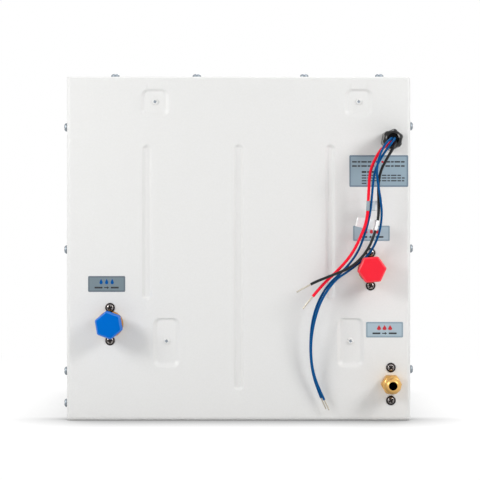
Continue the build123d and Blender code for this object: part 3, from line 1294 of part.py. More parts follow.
# ---- all pieces -------------------------------------------------------------
PIECES = {
    "rear_cover": rear_cover,
    "case_wrap": case_wrap,
    "top_plate": top_plate,
    "front_frame": front_frame,
    "flange_screws": flange_screws,
    "pad_screws": pad_screws,
    "fitting_screws": fitting_screws,
    "cold_fitting": lambda: water_fitting(COLD_X, COLD_Z),
    "hot_fitting": lambda: water_fitting(HOT_X, HOT_Z),
    "gas_fitting": gas_fitting,
    "cold_cap": lambda: pipe_cap(COLD_X, COLD_Z, COLD_CAP_TURN),
    "hot_cap": lambda: pipe_cap(HOT_X, HOT_Z, HOT_CAP_TURN),
    "gland_body": gland_body,
    "gland_nut": gland_nut,
    "gland_locknut": gland_locknut,
    "gland_seal": gland_seal,
    "wire_blue_right": lambda: wire("wire_blue_right", BLUE_ROUTE_RIGHT, BLUE_WIRE),
    "wire_blue_left": lambda: wire("wire_blue_left", BLUE_ROUTE_LEFT, BLUE_WIRE),
    "wire_red": lambda: wire("wire_red", RED_ROUTE, RED_WIRE),
    "wire_black": lambda: wire("wire_black", BLACK_ROUTE, BLACK_WIRE),
    "tag_red_wire": lambda: wire_tag(RED_ROUTE, 7, RED_TAG, 1, math.radians(31), RED_WIRE),
    "tag_black_wire": lambda: wire_tag(BLACK_ROUTE, 8, BLACK_TAG, -1, math.radians(9), BLACK_WIRE),
    "combustion_chamber": combustion_chamber,
    "fin_pack": fin_pack,
    "water_tubes": water_tubes,
    "exhaust_hood": exhaust_hood,
    "burner_tray": burner_tray,
    "burner_bars": burner_bars,
    "gas_manifold": gas_manifold,
    "electrodes": electrodes,
    "overheat_switch": overheat_switch,
    "core_brackets": core_brackets,
    "fan_housing": fan_housing,
    "fan_impeller": fan_impeller,
    "fan_motor": fan_motor,
    "flow_sensor_body": flow_sensor_body,
    "flow_turbine": flow_turbine,
    "drain_plug": drain_plug,
    "inlet_pipe": inlet_pipe,
    "outlet_pipe": outlet_pipe,
    "outlet_thermistor": outlet_thermistor,
    "gas_pipe": gas_pipe,
    "gas_valve": gas_valve,
    "valve_coils": valve_coils,
    "control_box": control_box,
    "control_cover": control_cover,
    "circuit_board": circuit_board,
    "switch_bezel": switch_bezel,
    "switch_rocker": switch_rocker,
    "igniter": igniter,
    "door_panel": door_panel,
    "outlet_grille": outlet_grille,
    "hinge_frame_leaves": hinge_frame_leaves,
    "hinge_door_leaves": hinge_door_leaves,
    "hinge_pins": hinge_pins,
    "latch_bezel": latch_bezel,
    "latch_knob": latch_knob,
    "latch_cam": latch_cam,
}

os.makedirs("parts", exist_ok=True)
for piece_name, build_piece in PIECES.items():
    export_step(build_piece(), f"parts/{piece_name}.step")
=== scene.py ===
"""Looks of a built-in propane water heater: a square cabinet of pressed, powder-coated sheet.

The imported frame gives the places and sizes.  Every new piece is a surface that is
worked out with numpy in millimetres and written to its mesh in metres.
"""
import logging
import math
from dataclasses import dataclass, field
from enum import Enum
from typing import Optional

import bpy
import numpy as np
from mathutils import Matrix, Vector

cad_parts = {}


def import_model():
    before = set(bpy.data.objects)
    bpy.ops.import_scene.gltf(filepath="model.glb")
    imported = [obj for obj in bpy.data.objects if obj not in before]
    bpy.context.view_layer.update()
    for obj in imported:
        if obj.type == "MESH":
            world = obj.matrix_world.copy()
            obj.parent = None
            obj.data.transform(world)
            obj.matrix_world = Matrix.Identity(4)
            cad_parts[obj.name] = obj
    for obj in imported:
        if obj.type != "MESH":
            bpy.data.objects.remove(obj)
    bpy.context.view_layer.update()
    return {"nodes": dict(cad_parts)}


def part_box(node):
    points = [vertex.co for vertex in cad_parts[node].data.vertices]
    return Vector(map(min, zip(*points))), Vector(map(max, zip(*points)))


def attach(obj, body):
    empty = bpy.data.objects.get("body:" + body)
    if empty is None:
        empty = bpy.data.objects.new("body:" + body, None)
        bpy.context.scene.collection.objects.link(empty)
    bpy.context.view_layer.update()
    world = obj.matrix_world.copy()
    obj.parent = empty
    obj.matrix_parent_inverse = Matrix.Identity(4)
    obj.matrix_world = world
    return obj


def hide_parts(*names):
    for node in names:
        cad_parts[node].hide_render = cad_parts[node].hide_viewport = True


LOG = logging.getLogger("heater")
# One millimetre in metres.
MM = 0.001
# Lengths and shares below this count as none.
TINY = 1e-6
# Faces that meet at a larger angle than this keep a hard edge between them.
SMOOTH_ANGLE = math.radians(32)


# ---- colours and nodes ------------------------------------------------------
def linear(code: str) -> tuple[float, float, float, float]:
    """Turn an sRGB hex colour into linear red, green, blue and alpha.

    Args:
        code: six hex digits after a hash sign.

    Returns:
        The linear colour with full alpha.
    """
    parts = np.array([int(code[n:n + 2], 16) for n in (1, 3, 5)]) / 255
    low = parts / 12.92
    high = ((parts + 0.055) / 1.055) ** 2.4
    red, green, blue = np.where(parts <= 0.04045, low, high)
    return float(red), float(green), float(blue), 1.0


def add(tree: bpy.types.NodeTree, kind: str, feeds: Optional[dict] = None, **settings) -> bpy.types.Node:
    """Add one node, with its settings, and fill or link its inputs.

    Args:
        tree: the node tree that gets the node.
        kind: the node's type name.
        feeds: input name or number to a value, or to an output socket to link.
        settings: attributes of the node.

    Returns:
        The new node.
    """
    node = tree.nodes.new(kind)
    for name, value in settings.items():
        setattr(node, name, value)
    for name, value in (feeds or {}).items():
        if isinstance(value, bpy.types.NodeSocket):
            tree.links.new(value, node.inputs[name])
        else:
            node.inputs[name].default_value = value
    return node


# ---- finishes ---------------------------------------------------------------
@dataclass(frozen=True)
class Finish:
    """A real material and how its surface was made.

    Attributes:
        name: common name of the material with its surface.
        colour: main sRGB colour.
        tint: sRGB colour that the grain leans towards.
        roughness: middle of the surface's roughness.
        spread: how far the roughness varies to either side.
        metallic: 1 for bare metal and 0 for anything else.
        ior: index of refraction, left at its default on metals.
        specular: strength of the mirror image on anything but metal, 0.5 on plain plastic.
        coat: clear or glossy skin over the material.
        grain: size of the pattern in millimetres.
        relief: height of the pattern in millimetres.
        stretch: pattern scale along X, Y and Z, for brushed and turned surfaces.
        subsurface: share of light that scatters inside.
        depth: how far that light goes in, in millimetres.
        noise: values of the noise between which the roughness runs.
    """

    name: str
    colour: str
    tint: str
    roughness: float
    spread: float = 0.05
    metallic: float = 0.0
    ior: float = 1.5
    specular: float = 0.5
    coat: float = 0.0
    grain: float = 2.0
    relief: float = 0.01
    stretch: tuple[float, float, float] = (1.0, 1.0, 1.0)
    subsurface: float = 0.0
    depth: float = 1.5
    noise: tuple[float, float] = (0.3, 0.7)

    def pattern(self, tree: bpy.types.NodeTree) -> bpy.types.NodeSocket:
        """Noise on object coordinates at the grain's size.

        Args:
            tree: the node tree that gets the nodes.

        Returns:
            The noise, a value of about 0 to 1.
        """
        place = add(tree, "ShaderNodeTexCoord").outputs["Object"]
        stretched = add(tree, "ShaderNodeMapping", {"Vector": place, "Scale": self.stretch})
        noise = add(
            tree, "ShaderNodeTexNoise",
            {"Vector": stretched.outputs["Vector"], "Scale": 1 / (self.grain * MM), "Detail": 3.0,
             "Roughness": 0.55},
        )
        return noise.outputs["Fac"]

    def material(self) -> bpy.types.Material:
        """Make the material, with the noise in its colour, roughness and relief.

        Returns:
            The material, the same one on every call.
        """
        made = bpy.data.materials.get(self.name)
        if made:
            return made
        made = bpy.data.materials.new(self.name)
        made.use_nodes = True
        tree = made.node_tree
        tree.nodes.clear()
        grain = self.pattern(tree)
        colour = add(
            tree, "ShaderNodeMix", {0: grain, 6: linear(self.colour), 7: linear(self.tint)}, data_type="RGBA"
        )
        rough = add(
            tree, "ShaderNodeMapRange",
            {"Value": grain, "From Min": self.noise[0], "From Max": self.noise[1],
             "To Min": self.roughness - self.spread, "To Max": self.roughness + self.spread},
        )
        bump = add(tree, "ShaderNodeBump", {"Height": grain, "Distance": self.relief * MM, "Strength": 1.0})
        shader = add(
            tree, "ShaderNodeBsdfPrincipled",
            {"Base Color": colour.outputs[2], "Roughness": rough.outputs["Result"],
             "Normal": bump.outputs["Normal"], "Metallic": self.metallic, "Coat Weight": self.coat},
        )
        if not self.metallic:
            shader.inputs["IOR"].default_value = self.ior
            shader.inputs["Specular IOR Level"].default_value = self.specular
        if self.subsurface:
            shader.inputs["Subsurface Weight"].default_value = self.subsurface
            shader.inputs["Subsurface Scale"].default_value = self.depth * MM
        add(tree, "ShaderNodeOutputMaterial", {"Surface": shader.outputs["BSDF"]})
        return made


# Polyester powder coat: satin, with the faint orange peel that melted powder leaves.
POWDER_COAT = Finish("powder_coat_white", "#ECECEB", "#E6E6E4", 0.42, 0.04, grain=1.6, relief=0.006)
# Zinc plate on steel: bright grey with a faint cloud.
ZINC_PLATE = Finish("zinc_plated_steel", "#B4B8BB", "#8B9094", 0.3, 0.08, 1.0, grain=1.2, relief=0.004)
# Zinc plate gone dull outdoors: mid grey. In the pad screws' cross recesses it is painted shade.
DULL_ZINC_AND_SHADE = Finish("weathered_zinc_steel", "#9AA2A9", "#828A91", 0.42, 0.06, 1.0, grain=1.2, relief=0.003)
# Painted highlight on the fitting screws' crowns: the oxide steel made mid grey, with a brown-grey cloud.
CROWN_HIGHLIGHT_OXIDE = Finish("oxide_steel_painted_highlight", "#A9A4A2", "#6E6765", 0.26, 0.08, 1.0, grain=0.9, relief=0.004)
# Black oxide on steel: dark brown-grey, oiled, so it still mirrors what is bright. On the fitting screws'
# brims it is also a painted dark reflection, and in the cross recesses painted shade.
BLACK_OXIDE_AND_SHADE = Finish("black_oxide_steel", "#3A3534", "#262323", 0.3, 0.08, 1.0, grain=0.8, relief=0.004)
# Turned brass: warm yellow, with rings around the axis, drawn a few times coarser than
# the tool's feed so that they show.
TURNED_BRASS = Finish(
    "turned_brass", "#E3B770", "#D9A962", 0.34, 0.03, 1.0, grain=0.6, relief=0.0003, stretch=(0.1, 1.0, 0.1)
)
# Brass inside a bore, painted brown-black as the bore's shade, so it is no mirror any more.
BORE_SHADE_BRASS = Finish(
    "brass_painted_bore_shade", "#0E0B08", "#0A0806", 0.8, 0.06, specular=0.03, grain=0.8, relief=0.004
)
# Cast aluminium: matte grey skin with the sand's grain.
CAST_ALLOY = Finish("cast_aluminium", "#B9BCBE", "#9DA0A3", 0.5, 0.08, 1.0, grain=0.9, relief=0.03)
# Low-density polyethylene, moulded: satin, light goes a little way in.
BLUE_CAP = Finish(
    "polyethylene_blue", "#0070D2", "#006BCC", 0.5, 0.04, specular=0.02, grain=1.0, relief=0.004,
    subsurface=0.1,
)
RED_CAP = Finish(
    "polyethylene_red", "#FF2A3E", "#FA2538", 0.5, 0.04, specular=0.15, grain=1.0, relief=0.004,
    subsurface=0.1,
)
# The same plastic on the bevels, which the mould left polished: they catch the light.
BLUE_BEVEL = Finish(
    "polyethylene_blue_polished", "#0070D2", "#006BCC", 0.42, 0.03, specular=0.8, grain=1.0, relief=0.001
)
RED_BEVEL = Finish(
    "polyethylene_red_polished", "#FF2A3E", "#FA2538", 0.42, 0.03, specular=0.8, grain=1.0, relief=0.001
)
# Nylon 6/6, moulded black in a polished mould: narrow, soft highlights.
BLACK_NYLON = Finish("nylon_black", "#0E0F10", "#0A0B0C", 0.18, 0.03, specular=0.35, grain=0.5, relief=0.001)
# Nitrile rubber: dull black.
BLACK_RUBBER = Finish("nitrile_rubber", "#2C3032", "#26292B", 0.6, 0.05, grain=0.4, relief=0.01)
# Extruded PVC insulation: smooth and glossy, faint drawing lines.
BLUE_PVC = Finish("pvc_blue", "#005490", "#004F88", 0.3, 0.04, specular=0.08, grain=0.8, relief=0.003)
RED_PVC = Finish("pvc_red", "#FF1A36", "#FA1431", 0.34, 0.04, specular=0.12, grain=0.8, relief=0.003)
BLACK_PVC = Finish("pvc_black", "#191C1E", "#141719", 0.34, 0.04, specular=0.3, grain=0.8, relief=0.003)
# Tinned copper strand: silver with a warm cast, mottled where the tin is thin.
TINNED_COPPER = Finish("tinned_copper", "#D8D2C6", "#B5AB98", 0.32, 0.08, 1.0, grain=0.4, relief=0.004)
# White polyester film: glossy front, even.
WHITE_FILM = Finish("polyester_film", "#FDFDFD", "#FBFBFB", 0.3, 0.04, coat=1.0, grain=3.0, relief=0.001)
# The same film, with painted shade round the wire, and grey where its print shows through.
FILM_PAINTED_SHADE = Finish("polyester_film_painted_shade", "#9AA7B0", "#95A2AB", 0.3, 0.04, grain=3.0, relief=0.002)
GREY_FILM = Finish("polyester_film_grey", "#C6D0D5", "#C1CBD1", 0.3, 0.04, grain=3.0, relief=0.002)
# Bare copper sheet and tube: warm, a little oxidised.
BARE_COPPER = Finish("bare_copper", "#D08A66", "#A9613F", 0.32, 0.1, 1.0, grain=5.0, relief=0.006)
# Galvanised sheet: grey with soft clouds.
GALVANISED = Finish("galvanised_sheet", "#B7BBBE", "#9BA0A4", 0.42, 0.1, 1.0, grain=6.0, relief=0.006)
# Brushed stainless steel: lines along X, several times wider than the real ones, to show.
BRUSHED_STEEL = Finish(
    "brushed_stainless", "#C9CACB", "#A9ABAD", 0.3, 0.06, 1.0, grain=0.5, relief=0.004,
    stretch=(0.03, 1.0, 1.0),
)
# Alumina ceramic: white, glazed.
CERAMIC = Finish(
    "glazed_alumina", "#EFEBE2", "#E5DFD2", 0.2, 0.04, ior=1.6, coat=0.3, grain=2.0, relief=0.003
)
# Black enamel on a motor shell.
BLACK_ENAMEL = Finish("black_enamel", "#1B1C1E", "#141517", 0.35, 0.05, coat=0.2, grain=1.5, relief=0.01)
# Acetal: white, slightly waxy.
WHITE_ACETAL = Finish(
    "acetal_white", "#ECEAE4", "#E3E1DA", 0.35, 0.04, grain=1.5, relief=0.004, subsurface=0.1
)
# ABS, spark-textured mid grey.
GREY_ABS = Finish("abs_grey", "#6E7174", "#64676A", 0.5, 0.05, grain=0.8, relief=0.02)
# Glass-epoxy board under green solder mask.
GREEN_BOARD = Finish("solder_mask_green", "#155C2E", "#0E4A22", 0.3, 0.06, coat=0.3, grain=1.2, relief=0.01)
# Metallised polyester label under matte laminate: a grey-blue ground and, below, its ink.
LABEL_DARK = Finish("label_slate", "#76868E", "#73838B", 0.4, 0.04, grain=0.6, relief=0.002)
LABEL_MID = Finish("label_steel_blue", "#94A9B6", "#91A6B3", 0.4, 0.04, grain=0.6, relief=0.002)
LABEL_LIGHT = Finish("label_silver_blue", "#ACBFCA", "#A9BCC7", 0.4, 0.04, grain=0.6, relief=0.002)
DARK_EDGE = Finish("ink_slate", "#66737C", "#636F79", 0.45, 0.04, grain=0.6, relief=0.001)
MID_EDGE = Finish("ink_steel", "#728595", "#6E8191", 0.45, 0.04, grain=0.6, relief=0.001)
LIGHT_EDGE = Finish("ink_mist", "#90A4B1", "#8CA0AD", 0.45, 0.04, grain=0.6, relief=0.001)
BLUE_INK = Finish("ink_blue", "#00559C", "#005095", 0.45, 0.04, specular=0.1, grain=0.6, relief=0.001)
RED_INK = Finish("ink_red", "#C9252F", "#BE1F29", 0.45, 0.04, grain=0.6, relief=0.001)
BLACK_INK = Finish("ink_black", "#25282C", "#1E2125", 0.45, 0.04, grain=0.6, relief=0.001)


# ---- shells: arrays of points and faces -------------------------------------
@dataclass
class Shell:
    """Points in millimetres with four-cornered and three-cornered faces.

    Attributes:
        points: one row for each point.
        quads: four point numbers for each face.
        triangles: three point numbers for each face.
        polygons: point numbers of each face with more corners.
        zones: number of the finish of each quad.
        edge_zones: number of the finish of each triangle.
    """

    points: np.ndarray
    quads: np.ndarray = field(default_factory=lambda: np.zeros((0, 4), int))
    triangles: np.ndarray = field(default_factory=lambda: np.zeros((0, 3), int))
    polygons: list[list[int]] = field(default_factory=list)
    zones: Optional[np.ndarray] = None
    edge_zones: Optional[np.ndarray] = None

    def face_zones(self) -> tuple[np.ndarray, np.ndarray]:
        """Finish numbers of the faces, 0 where none is given.

        Returns:
            The numbers of the quads and of the triangles.
        """
        quads = np.zeros(len(self.quads), int) if self.zones is None else self.zones
        triangles = np.zeros(len(self.triangles), int) if self.edge_zones is None else self.edge_zones
        return quads, triangles

    def __add__(self, other: "Shell") -> "Shell":
        """Both shells in one.

        Args:
            other: the shell whose points and faces follow this one's.

        Returns:
            A new shell with the faces of both and their finish numbers.
        """
        shift = len(self.points)
        mine, others = self.face_zones(), other.face_zones()
        return Shell(
            np.vstack([self.points, other.points]),
            np.vstack([self.quads, other.quads + shift]),
            np.vstack([self.triangles, other.triangles + shift]),
            self.polygons + [[n + shift for n in face] for face in other.polygons],
            np.concatenate([mine[0], others[0]]),
            np.concatenate([mine[1], others[1]]),
        )

    def mesh(self, name: str) -> bpy.types.Mesh:
        """Write the shell to a new mesh in metres, smooth except along sharp edges.

        Args:
            name: the mesh's name.

        Returns:
            The mesh, whose faces carry their finish numbers.
        """
        made = bpy.data.meshes.new(name)
        faces = self.quads.tolist() + self.triangles.tolist() + self.polygons
        made.from_pydata((self.points * MM).tolist(), [], faces)
        zones = np.concatenate([*self.face_zones(), np.zeros(len(self.polygons), int)])
        made.polygons.foreach_set("material_index", zones.astype(np.int32))
        made.validate()
        made.shade_smooth()
        made.set_sharp_from_angle(angle=SMOOTH_ANGLE)
        return made


def joined(shells: list[Shell]) -> Shell:
    """All the shells in one."""
    return sum(shells[1:], shells[0])


def grid_quads(rows: int, columns: int, wrap: bool) -> np.ndarray:
    """Faces of a grid of points, counted row by row.

    Args:
        rows: number of rows.
        columns: points in a row.
        wrap: whether the last column joins the first.

    Returns:
        An array of four point numbers for each face.
    """
    low = np.arange(rows - 1)[:, None] * columns
    high = low + columns
    column = np.arange(columns if wrap else columns - 1)[None, :]
    after = (column + 1) % columns
    corners = [low + column, low + after, high + after, high + column]
    return np.stack(corners, axis=-1).reshape(-1, 4)


@dataclass(frozen=True)
class Place:
    """A right-handed frame in millimetres.

    Attributes:
        origin: the point that places are counted from.
        across: direction of the first axis.
        up: direction of the second one.
        out: direction of the third one, away from the face.
    """

    origin: tuple[float, float, float]
    across: tuple[float, float, float] = (1.0, 0.0, 0.0)
    up: tuple[float, float, float] = (0.0, 0.0, 1.0)
    out: tuple[float, float, float] = (0.0, -1.0, 0.0)

    def world(self, local: np.ndarray) -> np.ndarray:
        """Points given along across, up and out, as points of the heater."""
        axes = np.array([self.across, self.up, self.out])
        return np.array(self.origin) + local @ axes

    def shifted(self, across: float, up: float, out: float = 0.0) -> "Place":
        """The same directions from another point."""
        return Place(tuple(self.world(np.array([across, up, out]))), self.across, self.up, self.out)


def around(steps: int) -> np.ndarray:
    """Angles of a ring's columns, in one row."""
    return 2 * math.pi * np.arange(steps)[None, :] / steps


def profile(*stations: tuple[float, float]) -> tuple[np.ndarray, np.ndarray]:
    """Columns of radii and heights from pairs of radius and height."""
    pairs = np.array(stations, float)
    return pairs[:, :1], pairs[:, 1:]


def stacked(steps: int, *parts: tuple[np.ndarray, np.ndarray]) -> tuple[np.ndarray, np.ndarray]:
    """Join blocks of rings into one.

    Args:
        steps: number of columns around.
        parts: a pair of radii and heights for each block, in order.

    Returns:
        The radii and the heights of all rings.
    """
    radii = np.vstack([np.broadcast_to(r, (len(r), steps)) for r, h in parts])
    heights = np.vstack([np.broadcast_to(h, (len(h), steps)) for r, h in parts])
    return radii, heights


def ring_shell(
    place: Place, radii: np.ndarray, heights: np.ndarray,
    turn: float = 0.0, zones: Optional[np.ndarray] = None,
) -> Shell:
    """Rings of points around the out direction, joined into a surface.

    The point of ring i at angle a lies at radius radii[i, a] from the axis and at
    heights[i, a] along it.  A first or last ring of any size is closed by a fan of
    triangles from its middle.

    Args:
        place: frame whose out direction is the axis.
        radii: one row for each ring, one column for each angle, or one column for all.
        heights: the same for the height.
        turn: angle of the first column, in radians.
        zones: finish number for each band between two rings, or for each of its faces.

    Returns:
        The surface, whose faces look outwards when the rings run up the outside.
    """
    rings, steps = np.broadcast(radii, heights).shape
    angle = turn + around(steps)
    wide = np.broadcast_to(radii, (rings, steps))
    high = np.broadcast_to(heights, (rings, steps))
    local = np.stack([wide * np.cos(angle), wide * np.sin(angle), high], axis=-1)
    shell = Shell(place.world(local.reshape(-1, 3)), grid_quads(rings, steps, True))
    if zones is not None:
        shell.zones = np.broadcast_to(zones, (rings - 1, steps)).ravel()
    column = np.arange(steps)
    after = (column + 1) % steps
    last = (rings - 1) * steps
    middles = []
    fans = []
    for ring, near, far in ((0, after, column), (-1, last + column, last + after)):
        if wide[ring].max() > TINY:
            hub = np.full(steps, rings * steps + len(middles))
            fans.append(np.stack([hub, near, far], axis=-1))
            middles.append(place.world(local[ring].mean(axis=0)))
    if middles:
        shell.points = np.vstack([shell.points, middles])
        shell.triangles = np.vstack(fans)
        if zones is not None:
            shell.edge_zones = np.full(len(shell.triangles), int(shell.zones[-1]))
    return shell


def hex_radius(across_flats: float, angle: np.ndarray, corner: float = 0.985) -> np.ndarray:
    """Radius of a hexagon whose corners are cut off.

    The flat nearest to an angle is at half the width over flats, divided by the cosine
    of the angle from that flat's middle.

    Args:
        across_flats: the hexagon's width over flats.
        angle: angles at which the radius is wanted; a flat's middle is at 0.
        corner: largest radius, as a share of a sharp corner's.

    Returns:
        The radius at each angle.
    """
    sector = math.pi / 3
    from_flat = (angle + sector / 2) % sector - sector / 2
    exact = across_flats / 2 / np.cos(from_flat)
    return np.minimum(exact, corner * across_flats / math.sqrt(3))


def rounded_radius(width: float, height: float, radius: float, angle: np.ndarray) -> np.ndarray:
    """Distance from the middle to the edge of a rectangle with round corners.

    It is the distance to the nearer straight side, or to the corner's circle where
    the ray crosses the square that the circle rounds.

    Args:
        width: the rectangle's width.
        height: its height.
        radius: radius of its corners.
        angle: angles at which the distance is wanted.

    Returns:
        The distance at each angle.
    """
    across = np.maximum(np.abs(np.cos(angle)), TINY)
    up = np.maximum(np.abs(np.sin(angle)), TINY)
    side = np.minimum(width / 2 / across, height / 2 / up)
    x, y = width / 2 - radius, height / 2 - radius
    corner = x * across + y * up + np.sqrt(np.clip(radius ** 2 - (x * up - y * across) ** 2, 0, None))
    return np.where((side * across > x) & (side * up > y), corner, side)


def rounded_rectangle(width: float, height: float, radius: float, steps: int = 8) -> np.ndarray:
    """Outline of a rectangle with round corners, a quarter circle at each.

    Args:
        width: the rectangle's width.
        height: its height.
        radius: radius of its corners.
        steps: points in each corner.

    Returns:
        Pairs of across and up about the middle, anticlockwise.
    """
    quarter = np.linspace(0, math.pi / 2, steps)
    arcs = []
    for n, (sx, sy) in enumerate(((1, 1), (-1, 1), (-1, -1), (1, -1))):
        angle = quarter + n * math.pi / 2
        centre = np.array([sx * (width / 2 - radius), sy * (height / 2 - radius)])
        arcs.append(centre + radius * np.stack([np.cos(angle), np.sin(angle)], axis=-1))
    return np.vstack(arcs)


def slab(place: Place, outline: np.ndarray, low: float, high: float) -> Shell:
    """Plate with a flat outline and straight sides.

    Args:
        place: frame that the outline and the heights are given in.
        outline: pairs of across and up, anticlockwise.
        low: height of the plate's back.
        high: height of its front.

    Returns:
        The closed plate.
    """
    count = len(outline)
    points = [np.column_stack([outline, np.full(count, height)]) for height in (low, high)]
    shell = Shell(place.world(np.vstack(points)), grid_quads(2, count, True))
    shell.polygons = [list(range(count))[::-1], [count + n for n in range(count)]]
    return shell


def sheet_face(place: Place, outline: np.ndarray, height: float) -> Shell:
    """One flat face with the given outline."""
    points = np.column_stack([outline, np.full(len(outline), height)])
    return Shell(place.world(points), polygons=[list(range(len(outline)))])


def show(
    name: str, shell: Shell, finish: Finish | tuple[Finish, ...], body: str, *nodes: str
) -> bpy.types.Object:
    """Make an object of a shell, dress it, and let it ride on a body.

    Args:
        name: the piece's name.
        shell: its surface.
        finish: its material, or one for each zone of the shell.
        body: the body that it moves with.
        nodes: the solids that it stands for.

    Returns:
        The new object.
    """
    made = bpy.data.objects.new(name, shell.mesh(name))
    bpy.context.scene.collection.objects.link(made)
    for layer in finish if isinstance(finish, tuple) else (finish,):
        made.data.materials.append(layer.material())
    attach(made, body)
    if nodes:
        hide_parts(*nodes)
    LOG.info("%s: %d faces", name, len(made.data.polygons))
    return made


def centre_of(node: str) -> np.ndarray:
    """Middle of a solid's box, in millimetres."""
    return np.mean(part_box(node), axis=0) / MM


def rear_place() -> Place:
    """Frame on the rear cover's outer face, at the middle of its lower edge."""
    low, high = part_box("rear_cover")
    return Place((0.0, low[1] / MM, low[2] / MM))


def place_before(node: str) -> Place:
    """Frame on the rear cover's outer face, in line with the middle of a piece."""
    middle = centre_of(node)
    return rear_place().shifted(middle[0], middle[2])


# ---- pressed rear cover -----------------------------------------------------
def pressed(share: np.ndarray, edge: float = 0.22) -> np.ndarray:
    """Depth of a pressed wall as a share, from 0 on its rim to 1 on its floor.

    The wall is a straight ramp.  Over the given share at either end it bends into the
    flat along a parabola, as sheet does over the rounded edges of a die.

    Args:
        share: how far each point is on its way from the rim to the floor.
        edge: share of the way that each bend takes.

    Returns:
        The depth at each point.
    """
    share = np.clip(share, 0, 1)
    start = np.minimum(share, edge)
    end = np.maximum(share - (1 - edge), 0)
    ramp = share - start + start ** 2 / (2 * edge) - end ** 2 / (2 * edge)
    return ramp / (1 - edge)


def inside_rounded(
    across: np.ndarray, up: np.ndarray, width: float, height: float, radius: float
) -> np.ndarray:
    """Distance to a rounded rectangle's outline, above zero inside it.

    It is the corner radius less the distance from the rectangle that the corners turn
    about, along both directions outside that rectangle and along the nearer one inside.

    Args:
        across: places across, from the rectangle's middle.
        up: places up, from its middle.
        width: the rectangle's width.
        height: its height.
        radius: radius of its corners.

    Returns:
        The distance at each place.
    """
    qx = np.abs(across) - width / 2 + radius
    qz = np.abs(up) - height / 2 + radius
    return radius - np.hypot(np.maximum(qx, 0), np.maximum(qz, 0)) - np.minimum(np.maximum(qx, qz), 0)


